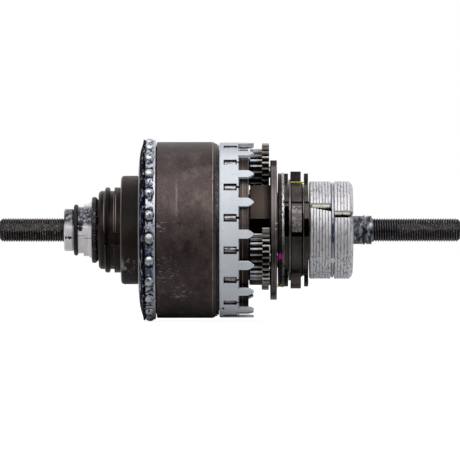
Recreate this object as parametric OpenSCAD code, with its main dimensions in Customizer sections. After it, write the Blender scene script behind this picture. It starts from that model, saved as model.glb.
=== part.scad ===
// Geared bicycle hub with a back-pedal brake: the whole gear unit on its axle, out of its hub shell.
// The axle lies along X with the brake side at +X, Z is up, and the origin is the middle of the axle.
// Angles round the axle are counted from the top towards the viewer, who looks along +Y.

/* [Fits] */
// Radial gap between two pieces that are screwed, pressed or keyed together
seat_gap = 0.05; // [0.03:0.01:0.08]
// Radial gap between a turning piece and the piece it turns on
running_gap = 0.08; // [0.05:0.01:0.1]
// Gap between the faces of two pieces that turn past each other
end_gap = 0.3; // [0.2:0.05:0.4]
// How much narrower each gear tooth is than half its pitch
tooth_slack = 0.1; // [0.06:0.02:0.16]

/* [Axle] */
// Length of the axle, end to end
axle_length = 184; // [180:1:200]
// Outside diameter of the thread at the drive end
thread_d = 9.52; // [9.2:0.02:9.6]
// Outside diameter of the thread at the brake end
brake_thread_d = 9.36; // [9.2:0.02:9.6]
// Distance between two crests of the thread
thread_pitch = 0.977; // [0.8:0.001:1.27]
// Height of the thread's crests above its roots
thread_depth = 0.52; // [0.4:0.01:0.6]
// Bevel at the ends of the axle
axle_end_bevel = 1.2; // [0.4:0.1:1.6]
// Distance across the two flats at each end
flats_across = 8.14; // [7.6:0.02:8.8]
// Angle at which the front flat faces
flats_turn = 73; // [0:1:180]
// Length of the flats, from each end of the axle
flats_length = 24.8; // [16:0.2:25]
// Diameter of the middle of the axle, on which the gears sit
core_d = 12; // [11.6:0.1:12.4]
// Diameter of the seat for the brake arm
brake_seat_d = 11.3; // [10.8:0.1:11.4]
// Length of the seat for the brake arm
brake_seat_w = 4.1; // [3.5:0.1:4.9]
// Diameter of the narrow ridge beside the seat
seat_ridge_d = 11.7; // [11.5:0.1:12]
// Length of the plain stretch between that ridge and the thread
seat_tail_w = 3; // [2:0.1:4]

/* [Drive side cone] */
// Diameter of the locknut
locknut_d = 16.8; // [15.6:0.1:18]
// Thickness of the locknut
locknut_w = 3.8; // [3.2:0.1:4.8]
// Outside diameter of the rubber ring beside the locknut
o_ring_d = 20.5; // [19.8:0.1:21.4]
// Thickness of the rubber ring
o_ring_w = 1.8; // [1.5:0.1:2.2]
// Diameter of the cone's neck, which has the wrench flats
cone_neck_d = 18.6; // [18:0.1:19.4]
// Width of the cone's neck
cone_neck_w = 2.2; // [1.8:0.1:3]
// Distance across the wrench flats
wrench_flats = 17.8; // [17.4:0.1:18]
// Diameter of the cone's collar
cone_collar_d = 20.8; // [20:0.1:21.6]
// Width of the cone's collar
cone_collar_w = 1.8; // [1.4:0.1:2.4]
// Diameter of the flare behind the collar
cone_flare_d = 23; // [22:0.1:24]
// Width of the flare
cone_flare_w = 1.4; // [1:0.1:2]
// Diameter of the dust seal
seal_d = 26.4; // [25:0.1:28]
// Width of the dust seal
seal_w = 2.5; // [2:0.1:3]

/* [Driver] */
// Diameter of the driver's outer rim
driver_rim_d = 31.3; // [30.4:0.1:32]
// Width of the driver's outer rim
driver_rim_w = 2.5; // [2.2:0.1:3]
// Diameter of the sprocket's seat, and of the land in front of it
sprocket_seat_d = 34.1; // [33.4:0.1:34.8]
// Width of the land between the rim and the snap ring's groove
driver_land_w = 2.1; // [1.8:0.1:2.5]
// Width of the groove for the sprocket's snap ring
snap_groove_w = 1.7; // [1.4:0.1:2]
// Width of the sprocket's seat
sprocket_seat_w = 2.3; // [2:0.1:3]
// Width of the three notches that the sprocket's lugs enter
lug_notch_w = 5.2; // [4:0.1:6]
// Depth of those notches below the seat
lug_notch_depth = 2; // [1.6:0.1:2.2]
// Angle of the first notch
lug_notch_turn = 102.6; // [0:0.1:120]
// Diameter of the driver's tube, which goes into the drum
driver_tube_d = 28; // [27:0.1:29]
// Diameter of the dust cap on the driver
dust_cap_d = 43.4; // [41:0.1:46]
// Width of the dust cap
dust_cap_w = 6.7; // [5.6:0.1:7]
// Diameter of the balls that carry the driver
driver_ball_d = 3.175; // [3:0.005:3.2]
// How many balls carry the driver
driver_ball_count = 14; // [10:1:14]
// Diameter of the circle through the centres of those balls
driver_ball_circle_d = 19.5; // [19.2:0.1:19.8]

/* [Hub bearing] */
// Diameter of the balls that carry the hub shell
hub_ball_d = 4.76; // [4.6:0.01:4.8]
// How many balls carry the hub shell
hub_ball_count = 24; // [18:1:24]
// Diameter of the circle through the centres of those balls
hub_ball_circle_d = 68.6; // [68:0.1:69]
// Diameter of the hole in the left wall of the ball cage
hub_cage_hole_d = 49.8; // [47:0.1:54]

/* [Drum] */
// Where the drum's left face stands, from the middle of the axle
drum_left = -29.2; // [-30:0.1:-28.6]
// Outside diameter of the drum
drum_d = 70.4; // [69.8:0.1:71]
// Wall of the drum round the roots of its ring gear
drum_wall = 4; // [3.6:0.1:4.6]
// Width of the drum
drum_w = 23.6; // [23:0.1:25]
// Diameter of the ring that holds the clutch on the drum
stop_ring_d = 69; // [68:0.1:69.6]
// Width of that ring
stop_ring_w = 1.25; // [1:0.05:1.6]

/* [First gear stage, inside the drum] */
// Teeth of the first sun gear, a multiple of four
first_sun_teeth = 24; // [20:4:24]
// Teeth of each first planet gear
first_planet_teeth = 18; // [16:2:18]
// Width of the first stage's gears
first_gear_w = 10; // [8:0.5:10]
// Diameter of the first planet gears' pins
first_pin_d = 6.4; // [5.6:0.1:7]

/* [Roller clutch] */
// How many rollers the clutch has
clutch_roller_count = 17; // [14:1:18]
// Diameter of the clutch rollers
clutch_roller_d = 2.8; // [2.6:0.05:2.9]
// Length of the clutch rollers
clutch_roller_w = 4.9; // [4.4:0.1:5.2]
// Angle of the first roller
clutch_turn = 82.1; // [0:0.1:360]
// Outside diameter of the plastic roller cage
clutch_cage_d = 70; // [69.7:0.1:70.4]
// Wall of the roller cage
clutch_cage_wall = 2.4; // [2.2:0.05:2.5]
// Width of the roller cage without its fingers
clutch_cage_w = 7.8; // [7.4:0.1:8.4]
// Length of the fingers
finger_length = 5.9; // [4.5:0.1:6.5]
// Width of the fingers
finger_w = 3.5; // [2.6:0.1:4.4]
// Length of the fingers' points
finger_point = 2.7; // [2:0.1:3.4]
// Thickness of the fingers
finger_thickness = 1.1; // [0.8:0.1:1.5]
// Width of the slit beside each roller
cage_slit_w = 1; // [0.6:0.1:1.4]
// How far the cage turns to wedge its rollers
clutch_cage_angle = 7; // [4:0.5:7]

/* [Second gear stage] */
// Tooth size of the second stage: pitch diameter over teeth
second_module = 0.75; // [0.72:0.01:0.75]
// Teeth of the planet's small gear, inside the output ring
small_planet_teeth = 16; // [16:1:17]
// Teeth of the planet's middle gear, on the locked sun
locked_planet_teeth = 23; // [21:2:23]
// Teeth of the planet's large gear, on the free sun
free_planet_teeth = 29; // [27:2:29]
// Teeth of the locked sun gear, a multiple of three
locked_sun_teeth = 39; // [36:3:39]
// Outside diameter of the output ring gear
output_ring_d = 64.6; // [63.8:0.1:65]
// Width of the output ring gear
output_ring_w = 3.6; // [3.2:0.1:4]
// Width of the gears on the locked sun
locked_gear_w = 4.8; // [4.2:0.1:5.4]
// Width of the gears on the free sun
free_gear_w = 2.8; // [2.4:0.1:3.4]
// Diameter of the second planet gears' pins
second_pin_d = 4.6; // [4:0.1:4.8]

/* [Planet carrier] */
// Angle of the first planet gear
carrier_turn = -3; // [-60:1:60]
// Diameter of the left plate, which carries the drum
left_plate_d = 56; // [55:0.1:56.4]
// Thickness of the left plate
left_plate_w = 2; // [1.6:0.1:2.2]
// Radius out to which the pillars reach
pillar_r = 22; // [21:0.1:22.6]
// Radius in to which the pillars reach
pillar_inner_r = 17; // [16.4:0.1:18]
// Angle that each pillar fills
pillar_angle = 42; // [30:1:46]
// Angle that each pillar's neck fills
pillar_neck_angle = 24; // [16:1:26]
// Rounding of the pillars' left edge
pillar_rounding = 0.5; // [0.5:0.1:1.5]
// How far the pillars' upper left corner is cut back
pillar_corner = 1.4; // [0.8:0.1:1.8]
// Diameter of the right plate without its lugs
right_plate_d = 52.2; // [52:0.1:54]
// Diameter over the lugs of the right plate
right_plate_lugs_d = 55.8; // [54.6:0.1:58]
// How many lugs the right plate has
plate_lug_count = 2; // [2:1:6]
// Angle that each lug of the right plate fills
plate_lug_angle = 18; // [10:1:24]
// Thickness of the right plate
right_plate_w = 2.6; // [2:0.1:3]
// Diameter of the tube that carries the brake drive rings
carrier_tube_d = 30; // [29:0.1:31]

/* [Brake drive rings] */
// Diameter of the dark thrust ring
thrust_ring_d = 45.4; // [44:0.1:47]
// Width of the thrust ring
thrust_ring_w = 1.2; // [1:0.1:1.6]
// Diameter of the bright ring beside it
bright_ring_d = 45.8; // [44:0.1:47]
// Diameter of the brake drive rings without their lugs
drive_ring_d = 37.4; // [36:0.1:38.4]
// Diameter over the lugs of the two narrow rings
narrow_lugs_d = 45.2; // [43:0.1:46]
// Diameter over the lugs of the wide ring
wide_lugs_d = 46.8; // [44:0.1:48]
// Width of the narrow rings
narrow_ring_w = 1.6; // [1.3:0.1:1.9]
// Width of the wide ring's lugs
wide_lug_w = 4.1; // [3.6:0.1:4.6]
// How many lugs each ring has
ring_lug_count = 4; // [3:1:5]
// Angle that each lug fills
ring_lug_angle = 26; // [18:1:34]
// Angle of the lug that faces the viewer
ring_lug_turn = 79; // [60:1:100]
// Thickness of the wire of the friction ring
friction_wire_d = 0.6; // [0.4:0.05:0.7]

/* [Brake] */
// Diameter of the brake shoes at rest
shoe_d = 39; // [38.4:0.1:39.6]
// Diameter of the space inside the shoes
shoe_bore_d = 31.6; // [31.4:0.1:32]
// Width of the brake shoes
shoe_w = 17.3; // [17:0.1:18.4]
// Width of the groove for the shoes' spring
shoe_groove_w = 1.3; // [1.2:0.05:1.6]
// Thickness of the shoe spring's wire
shoe_spring_wire_d = 1; // [0.8:0.05:1.05]
// Width of the slits between the shoes
shoe_slit_w = 2.9; // [2:0.1:3.2]
// Angle of the slit in the left half of the shoes
shoe_slit_turn = 61; // [0:1:120]
// Angle by which the slit's second edge leans over in the left half
shoe_slit_lean = 6; // [0:1:8]
// How far each shoe moves out when the brake is on
shoe_travel = 0.7; // [0.5:0.05:0.75]
// Diameter of the brake rollers
brake_roller_d = 4; // [3.8:0.05:4.1]
// Length of the brake rollers
brake_roller_w = 11; // [9:0.5:12]
// How far each brake roller moves out
brake_roller_travel = 0.35; // [0.25:0.05:0.4]
// Width of the cone that holds the shoes' right end
brake_cone_w = 2.2; // [2:0.1:3]

/* [Shift sleeve] */
// Outside diameter of the sleeve that shifts the gears
sleeve_d = 14.8; // [14.4:0.1:15.2]
// Turns of the sleeve's return spring
return_spring_turns = 3; // [2:1:3]
// Thickness of the return spring's wire
return_spring_wire_d = 0.9; // [0.7:0.05:0.95]

/* [Hidden] */

// Facets of a round piece in a preview
round_faces = 96;
pressure_angle = 20;
// Tooth height above and below the pitch circle, as a share of the module
tooth_rise = 0.85;
tooth_fall = 1.2;
// Gap between a ball and its races and pocket
ball_gap = 0.06;
// Angle of the first ball of each bearing
first_ball_turn = 95.5;
// A cut reaches this far past the face it opens
past = 1;

half_length = axle_length / 2;
thread_r = thread_d / 2;
brake_thread_r = brake_thread_d / 2;
core_r = core_d / 2;
core_bore_r = core_r + seat_gap;
core_running_r = core_r + running_gap;

// Stations to the left of the drum
hub_ball_r = hub_ball_d / 2;
// The balls' gap to the drum, and the ball cage's reach to the left and right of their centres
hub_ball_to_drum = 0.42;
hub_cage_dish_w = 4.5;
hub_cage_finger_w = 2.4;
// Wall of the ball cage at its hole, and the two bends of its inside, with how far they lie from its left end
hub_cage_wall = 0.7;
hub_cage_foot_h = 0.6;
hub_cage_foot_w = 1.65;
hub_cage_bend_w = 2.05;
// Outside of the cage's dish: how far beyond the ball circle, and how far from the cage's left end
hub_cage_dish = [[-6.7, 0.25], [-5.1, 0.44], [-3.5, 0.68], [-1.9, 1.05], [-1.1, 1.3],
                 [-0.3, 1.6], [0.5, 1.8], [1.8, 2], [1.8, 2.6], [1.1, 2.6]];
hub_ball_x = drum_left - hub_ball_r - hub_ball_to_drum;
hub_cage_left = hub_ball_x - hub_cage_dish_w;
hub_cage_right = hub_ball_x + hub_cage_finger_w;
cap_right = hub_cage_left - end_gap;
cap_left = cap_right - dust_cap_w;
seat_right = cap_left - end_gap;
seat_left = seat_right - sprocket_seat_w;
land_right = seat_left - snap_groove_w;
land_left = land_right - driver_land_w;
driver_left = land_left - driver_rim_w;
seal_right = driver_left - end_gap;
flare_right = seal_right - seal_w;
collar_right = flare_right - cone_flare_w;
neck_right = collar_right - cone_collar_w;
neck_left = neck_right - cone_neck_w;
o_ring_left = neck_left - o_ring_w;
locknut_left = o_ring_left - locknut_w;

// The driver's ball bearing, whose races slope at 45 degrees
driver_ball_r = driver_ball_d / 2;
driver_ball_circle_r = driver_ball_circle_d / 2;
driver_ball_depth = 2.8;
driver_ball_x = driver_left + driver_ball_depth;
driver_race_offset = (driver_ball_r + ball_gap) * sqrt(2);
cone_race_sum = driver_ball_circle_r + driver_ball_x - driver_race_offset;
cup_race_sum = driver_ball_circle_r + driver_ball_x + driver_race_offset;
seal_seat_r = driver_ball_circle_r - 0.55;
cone_tip_r = core_r + 0.5;
cone_right = cone_race_sum - cone_tip_r;
core_left = cone_right + seat_gap;
driver_mouth_r = driver_ball_circle_r + 2.45;
// The driver's ball cage: a disc on the left, bent to a sleeve with pockets
driver_cage_bore_r = seal_seat_r + 0.4;
driver_cage_mouth_r = driver_mouth_r - 0.3;
driver_cage_outer_r = driver_ball_circle_r + 0.95;
driver_cage_inner_r = driver_ball_circle_r - 0.2;
driver_cage_left = driver_ball_x - 2.4;
driver_cage_bend_x = driver_ball_x - 1.75;
driver_cage_bend_w = 0.55;
driver_cage_right = driver_ball_x + 0.6;
driver_bore_r = sleeve_d / 2 + 1;
driver_tube_r = driver_tube_d / 2;

// The hub shell's ball bearing
hub_ball_circle_r = hub_ball_circle_d / 2;
hub_race_r = hub_ball_circle_r - hub_ball_r - 0.22;
hub_cage_outer_r = hub_ball_circle_r + 1.1;
hub_cage_inner_r = hub_ball_circle_r - 0.6;
hub_race_slope = hub_ball_circle_r - hub_ball_x - (hub_ball_r + ball_gap) * sqrt(2);
hub_race_left = hub_cage_left + 2.4;
hub_race_wall = 3.7;

// Inside the drum
drum_r = drum_d / 2;
drum_right = drum_left + drum_w;
drum_wall_left = drum_left - 1.8;
drum_wall_right = drum_left + 0.8;
first_plate_w = 2.4;
first_plate_left = drum_wall_right + 1.8;
first_plate_right = first_plate_left + first_plate_w;
first_gear_left = first_plate_right + 0.8;
first_gear_right = first_gear_left + first_gear_w;
first_end_plate_left = first_gear_right + 0.8;
first_end_plate_right = first_end_plate_left + 2;
first_ring_teeth = first_sun_teeth + 2 * first_planet_teeth;
// Tooth size that fills the drum: pitch diameter over teeth
first_module = (drum_r - drum_wall) / (first_ring_teeth / 2 + tooth_fall);
first_pin_circle_r = first_module * (first_sun_teeth + first_planet_teeth) / 2;
first_plate_r = first_pin_circle_r + first_pin_d / 2 + 2.8;
first_planet_count = 4;
first_pillar_angle = 16;
// The driver's tube is stepped down where the first carrier is pressed on it
driver_spigot_r = driver_bore_r + 2.1;

// Roller clutch
clutch_cage_left = drum_right + stop_ring_w + 0.15;
clutch_cage_right = clutch_cage_left + clutch_cage_w;
clutch_cage_r = clutch_cage_d / 2;
clutch_cage_inner_r = clutch_cage_r - clutch_cage_wall;
clutch_roller_r = clutch_roller_d / 2;
// Gap round each roller in its window, and how deep the rollers lie under the cage's outside
roller_window_gap = 0.17;
roller_depth = 0.25;
clutch_pitch = 360 / clutch_roller_count;
clutch_roller_circle_r = clutch_cage_r - clutch_roller_r - roller_depth;
clutch_roller_x = clutch_cage_left + clutch_cage_w / 2 + 0.35;
// The flats of the cam leave the rollers a little gap when they are wedged
cam_flat_r = clutch_roller_circle_r * cos(clutch_cage_angle) - clutch_roller_r - 0.1;
cam_corner_r = cam_flat_r / cos(clutch_pitch / 2);
cam_bore_r = left_plate_d / 2 + running_gap;
cam_seat_r = cam_flat_r - 0.3;
cam_left = drum_right + seat_gap;
stop_ring_left = cam_left;
stop_ring_right = drum_right + stop_ring_w;

// Second gear stage
output_ring_left = clutch_cage_right + 0.2;
output_ring_right = output_ring_left + output_ring_w;
cam_right = output_ring_left - seat_gap;
second_pin_circle_r = second_module * (locked_sun_teeth + locked_planet_teeth) / 2;
output_ring_teeth = locked_sun_teeth + locked_planet_teeth + small_planet_teeth;
free_sun_teeth = locked_sun_teeth + locked_planet_teeth - free_planet_teeth;
second_planet_count = 3;
locked_gear_left = output_ring_right + 0.6;
locked_gear_right = locked_gear_left + locked_gear_w;
free_gear_right = locked_gear_right + free_gear_w;
planet_bore_r = second_pin_d / 2 + running_gap;

// Planet carrier
left_plate_right = output_ring_left - 0.6;
left_plate_left = left_plate_right - left_plate_w;
pillar_left = output_ring_right + end_gap;
right_plate_left = free_gear_right + 0.5;
right_plate_right = right_plate_left + right_plate_w;
pillar_offset = 180 / second_planet_count;
carrier_tube_r = carrier_tube_d / 2;
ring_bore_r = carrier_tube_r + seat_gap;

// Brake drive rings
thrust_ring_left = right_plate_right + 0.5;
thrust_ring_right = thrust_ring_left + thrust_ring_w;
bright_ring_left = thrust_ring_right + seat_gap;
bright_ring_right = bright_ring_left + 1.1;
left_drive_ring_left = bright_ring_right + seat_gap;
left_drive_ring_right = left_drive_ring_left + narrow_ring_w;
spacer_ring_left = left_drive_ring_right + 0.2;
spacer_ring_right = spacer_ring_left + 0.75;
middle_drive_ring_left = spacer_ring_right + seat_gap;
middle_lugs_right = middle_drive_ring_left + wide_lug_w;
middle_drive_ring_right = middle_lugs_right + 0.6;
right_drive_ring_left = middle_drive_ring_right + 0.7;
right_drive_ring_right = right_drive_ring_left + narrow_ring_w;

// Brake
shoe_left = right_drive_ring_right + 0.5;
shoe_right = shoe_left + shoe_w;
shoe_r = shoe_d / 2;
shoe_bore_r = shoe_bore_d / 2;
shoe_groove_left = shoe_left + 8.5;
shoe_groove_right = shoe_groove_left + shoe_groove_w;
shoe_count = 3;
shoe_spring_r = shoe_r - 0.45 - shoe_spring_wire_d / 2;
// The groove is deep enough for the shoe to move out under its spring
shoe_groove_r = shoe_spring_r - shoe_spring_wire_d / 2 - shoe_travel - 0.05;
shoe_end_taper = 1.2;
shoe_end_step = 0.4;
shoe_end_shoulder = 1.1;
shoe_end_slope = 2.4;
// Spare angle beyond each end of a shoe before its ends are cut
shoe_spare_angle = 15;
// Height of the shoes' ridges
shoe_ridge_h = 0.22;
brake_roller_r = brake_roller_d / 2;
brake_roller_circle_r = shoe_bore_r - 0.35 - brake_roller_r;
brake_cage_left = shoe_left + 0.5;
brake_cone_right = shoe_right - 0.2;
brake_cone_left = brake_cone_right - brake_cone_w;
brake_cage_right = brake_cone_left - 0.4;
brake_cage_inner_r = brake_roller_circle_r - 1.15;
brake_cage_outer_r = brake_roller_circle_r + 1.45;
brake_cam_left = right_drive_ring_right + seat_gap;
brake_cam_r = brake_cage_inner_r - 0.3;
brake_cam_flat_r = brake_roller_circle_r - brake_roller_r - 0.15;
brake_cone_r = shoe_bore_r - end_gap;
first_shoe_turn = shoe_slit_turn + 180 / shoe_count;
// Wall, disc and rounded edge of the dust cap
dust_cap_wall = 1.6;
dust_cap_disc_w = 2.4;
dust_cap_edge = 1.2;
// Rounding of the drum's left edge, and the bevel of its right edge along and across
drum_left_edge = 0.3;
drum_bevel_w = 1.2;
drum_bevel_h = 0.7;
// Step in the stop ring, which shows as a dark line: its width and its depth
stop_ring_lip_w = 0.55;
stop_ring_lip_h = 0.6;
// Angle that a slit fills, and by which it steps on at the groove without two shoes meeting there
shoe_slit_angle = shoe_slit_w / shoe_r * 180 / PI;
shoe_slit_step = shoe_slit_angle + shoe_slit_lean / 2 - 1.5;
// Hole in each shoe for the end of the spring, by its angle from the slit before it
hook_hole_d = 1.2;
hook_hole_turn = 70;

// The right end of the axle
core_right = brake_cone_right;
brake_seat_r = brake_seat_d / 2;
// A shallow relief parts the seat from the core's shoulder
brake_seat_left = core_right + end_gap;
seat_relief = 0.2;
ridge_left = brake_seat_left + brake_seat_w;
ridge_right = ridge_left + 0.8;
tail_left = ridge_right + 0.5;
tail_right = ridge_left + seat_tail_w;
tail_groove_r = brake_seat_r - 0.35;
tail_r = brake_seat_r + 0.05;
thread_start = tail_right + 1.4;

// Shift sleeve and its return spring
sleeve_r = sleeve_d / 2;
sleeve_left = core_left + 6;
sleeve_right = first_gear_left - end_gap;
return_spring_r = (core_r + driver_bore_r) / 2;
return_spring_left = core_left + 0.4 + return_spring_wire_d / 2;
return_spring_length = sleeve_left - end_gap - return_spring_wire_d / 2 - return_spring_left;
spring_sides = 6;
spring_rings = 8 * return_spring_turns;

// Lays a shape drawn round Z along the axle: its +X points at the given angle, and its Z runs along the axle
module around_axle(turn = 0, along = 0)
    rotate([0, 90, 0])
        rotate([0, 0, 180 + turn])
            translate([0, 0, along])
                children();

// A turned piece, from an outline of [radius, place along the axle]
module turned(outline)
    around_axle()
        rotate_extrude($fn = round_faces)
            polygon(outline);

// A plain or beveled ring
module ring(outer_r, inner_r, left, right, bevel = 0)
    turned([[inner_r, left], [outer_r - bevel, left], [outer_r, left + bevel],
            [outer_r, right - bevel], [outer_r - bevel, right], [inner_r, right]]);

// A flat wedge from the axle out, for cutting sectors less than half a turn wide
module wedge(reach, from, to) {
    middle = (from + to) / 2;
    far = reach / cos((to - from) / 4);
    polygon([[0, 0], far * [cos(from), sin(from)], far * [cos(middle), sin(middle)],
             far * [cos(to), sin(to)]]);
}

// A piece of ring between two angles
module ring_sector(outer_r, inner_r, left, right, from, to)
    around_axle(along = left)
        linear_extrude(right - left)
            intersection() {
                difference() {
                    circle(r = outer_r, $fn = round_faces);
                    circle(r = inner_r, $fn = round_faces);
                }
                wedge(outer_r + past, from, to);
            }

// A prism that stands outwards, from an outline of [place round the axle, place along the axle]
module outward_prism(turn, along, inner_r, outer_r, outline)
    around_axle(turn, along)
        translate([inner_r, 0, 0])
            rotate([90, 0, 90])
                linear_extrude(outer_r - inner_r)
                    polygon(outline);

// A straight pin or roller beside the axle
module pin(turn, circle_r, pin_r, left, right)
    around_axle(turn, left)
        translate([circle_r, 0, 0])
            cylinder(r = pin_r, h = right - left, $fn = 32);

// Balls in a circle round the axle
module balls(count, circle_r, ball_r, along)
    for (i = [0:count - 1])
        around_axle(i * 360 / count + first_ball_turn, along)
            translate([circle_r, 0, 0])
                sphere(r = ball_r, $fn = 24);

// Gear teeth
function involute(a) = tan(a) * 180 / PI - a;
// Half the angle that a tooth fills at radius r
function half_tooth(teeth, size, r, extra) =
    90 / teeth + involute(pressure_angle)
    - involute(acos(min(1, teeth * size * cos(pressure_angle) / (2 * r))))
    + extra / (teeth * size) * 180 / PI;
// Outline of a gear whose first tooth points along +X
function gear_outline(teeth, size, root_r, tip_r, extra) =
    let (radii = [root_r, teeth * size / 2, tip_r, tip_r, teeth * size / 2, root_r])
    [for (tooth = [0:teeth - 1], i = [0:5])
        let (side = i < 3 ? -1 : 1,
             a = tooth * 360 / teeth + side * half_tooth(teeth, size, radii[i], extra))
        radii[i] * [cos(a), sin(a)]];

function gear_tip_r(teeth, size) = (teeth / 2 + tooth_rise) * size;
function gear_root_r(teeth, size) = (teeth / 2 - tooth_fall) * size;

// A spur gear with a bore, whose first tooth points at the given angle from its own +X
module gear(teeth, size, bore_r, w, turn = 0)
    linear_extrude(w)
        difference() {
            rotate(turn)
                polygon(gear_outline(teeth, size, gear_root_r(teeth, size),
                                     gear_tip_r(teeth, size), -tooth_slack));
            circle(r = bore_r, $fn = 48);
        }

// The opening of a gear with its teeth inside, whose first space points along +X
module inner_teeth(teeth, size, w)
    linear_extrude(w)
        polygon(gear_outline(teeth, size, (teeth / 2 - tooth_rise) * size,
                             (teeth / 2 + tooth_fall) * size, tooth_slack));

// A thread of closed rings between two places along the axle, as points of [radius, place]
function thread_rings(left, right, crest_r) =
    [for (i = [ceil(left / thread_pitch + 0.5):floor(right / thread_pitch - 0.5)])
        each [[crest_r, (i - 0.43) * thread_pitch], [crest_r - thread_depth, (i - 0.06) * thread_pitch],
              [crest_r - thread_depth, (i + 0.06) * thread_pitch], [crest_r, (i + 0.43) * thread_pitch]]];

axle_outline = concat(
    [[0, -half_length], [thread_r - axle_end_bevel, -half_length],
     [thread_r, -half_length + axle_end_bevel]],
    thread_rings(-half_length + axle_end_bevel, core_left, thread_r),
    [[thread_r, core_left], [core_r, core_left], [core_r, core_right],
     [brake_seat_r - seat_relief, core_right], [brake_seat_r - seat_relief, brake_seat_left],
     [brake_seat_r, brake_seat_left], [brake_seat_r, ridge_left], [seat_ridge_d / 2, ridge_left],
     [seat_ridge_d / 2, ridge_right], [tail_groove_r, ridge_right], [tail_groove_r, tail_left],
     [tail_r, tail_left], [tail_r, tail_right], [brake_thread_r, thread_start]],
    thread_rings(thread_start, half_length - axle_end_bevel, brake_thread_r),
    [[brake_thread_r, half_length - axle_end_bevel],
     [brake_thread_r - axle_end_bevel, half_length], [0, half_length]]);

module axle() color("#b9b4ab")
    difference() {
        turned(axle_outline);
        for (turn = [flats_turn, flats_turn + 180], left = [-half_length - past, half_length - flats_length])
            around_axle(turn, left)
                translate([flats_across / 2, -thread_d, 0])
                    cube([thread_d, 2 * thread_d, flats_length + past]);
    }

module drive_locknut() color("#c9c9c6")
    difference() {
        ring(locknut_d / 2, thread_r + seat_gap, locknut_left, o_ring_left, 0.5);
        // A small dimple in the rim
        around_axle(112, locknut_left + 1.4)
            translate([locknut_d / 2 + 0.5, 0, 0])
                sphere(r = 1.1, $fn = 24);
    }

module drive_o_ring() color("#17181a")
    around_axle(along = o_ring_left + o_ring_w / 2)
        rotate_extrude($fn = round_faces)
            translate([(o_ring_d - o_ring_w) / 2, 0])
                circle(d = o_ring_w - 0.04, $fn = 24);

module drive_cone() color("#c4c5c4")
    difference() {
        turned([[thread_r + seat_gap, o_ring_left],
                [(o_ring_d - 2 * o_ring_w) / 2 - seat_gap, o_ring_left],
                [(o_ring_d - 2 * o_ring_w) / 2 - seat_gap, neck_left],
                [cone_neck_d / 2, neck_left], [cone_neck_d / 2, neck_right],
                [cone_collar_d / 2, neck_right], [cone_collar_d / 2, collar_right],
                [cone_flare_d / 2, flare_right], [seal_seat_r, flare_right],
                [seal_seat_r, cone_race_sum - seal_seat_r], [cone_tip_r, cone_right],
                [thread_r + seat_gap, cone_right]]);
        for (turn = [90, 270])
            around_axle(turn, neck_left - seat_gap)
                translate([wrench_flats / 2, -cone_neck_d / 2, 0])
                    cube([cone_neck_d, cone_neck_d, cone_neck_w + seat_gap]);
    }

module cone_dust_seal() color("#1b1c1f")
    turned([[seal_seat_r + seat_gap, flare_right + seat_gap], [seal_d / 2 - 0.4, flare_right + seat_gap],
            [seal_d / 2, flare_right + 0.4], [seal_d / 2, seal_right - 0.9],
            [seal_d / 2 - 1, seal_right], [seal_seat_r + 1, seal_right],
            [seal_seat_r + seat_gap, seal_right - 0.6]]);

module first_sun_gear() color("#8d8a84")
    around_axle(along = first_gear_left)
        gear(first_sun_teeth, first_module, core_bore_r, first_gear_w);

module locked_sun_gear() color("#8d8a84")
    around_axle(carrier_turn, locked_gear_left)
        gear(locked_sun_teeth, second_module, core_bore_r, locked_gear_w - 0.1);

module free_sun_gear() color("#8d8a84")
    around_axle(carrier_turn, locked_gear_right + 0.1)
        gear(free_sun_teeth, second_module, core_running_r, free_gear_w - 0.1);

module brake_cone() color("#5f5a52")
    turned([[core_bore_r, brake_cone_left], [brake_cone_r - 1, brake_cone_left],
            [brake_cone_r, brake_cone_left + 0.6], [brake_cone_r, brake_cone_right - 0.5],
            [brake_cone_r - 1.5, brake_cone_right], [core_bore_r, brake_cone_right]]);

// Middle line of the return spring, one point for each ring of its tube
function spring_point(i) =
    let (a = 360 * return_spring_turns * i / spring_rings)
    [return_spring_r * cos(a), return_spring_r * sin(a), return_spring_length * i / spring_rings];
function spring_ring(i) =
    let (a = 360 * return_spring_turns * i / spring_rings, wire_r = return_spring_wire_d / 2)
    [for (k = [0:spring_sides - 1])
        let (b = 360 * k / spring_sides)
        spring_point(i) + wire_r * [cos(b) * cos(a), cos(b) * sin(a), sin(b)]];
spring_points = [for (i = [0:spring_rings]) each spring_ring(i)];
spring_faces = concat(
    [[for (k = [0:spring_sides - 1]) k]],
    [for (i = [0:spring_rings - 1], k = [0:spring_sides - 1])
        let (next = (k + 1) % spring_sides)
        each [[i * spring_sides + k, (i + 1) * spring_sides + k, (i + 1) * spring_sides + next],
              [i * spring_sides + k, (i + 1) * spring_sides + next, i * spring_sides + next]]],
    [[for (k = [spring_sides - 1:-1:0]) spring_rings * spring_sides + k]]);
// The least gap between neighbouring turns, measured on the points of the middle line
spring_gap = min([for (i = [0:spring_rings - 1], j = [i + 4:1:spring_rings])
    norm(spring_point(i) - spring_point(j))]) - return_spring_wire_d;
echo(return_spring_least_gap = spring_gap);

module sleeve_return_spring() color("#a7a7a2")
    around_axle(along = return_spring_left)
        polyhedron(spring_points, spring_faces);

module shift_sleeve() color("#8f8c86")
    difference() {
        ring(sleeve_r, core_running_r, sleeve_left, sleeve_right, 0.3);
        // Two windows that let the pawls of the sun gears rise
        for (turn = [0, 180])
            outward_prism(turn, sleeve_right - 9, core_r - past, sleeve_r + past,
                          [[-2, 0], [2, 0], [2, 6], [-2, 6]]);
    }

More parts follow.
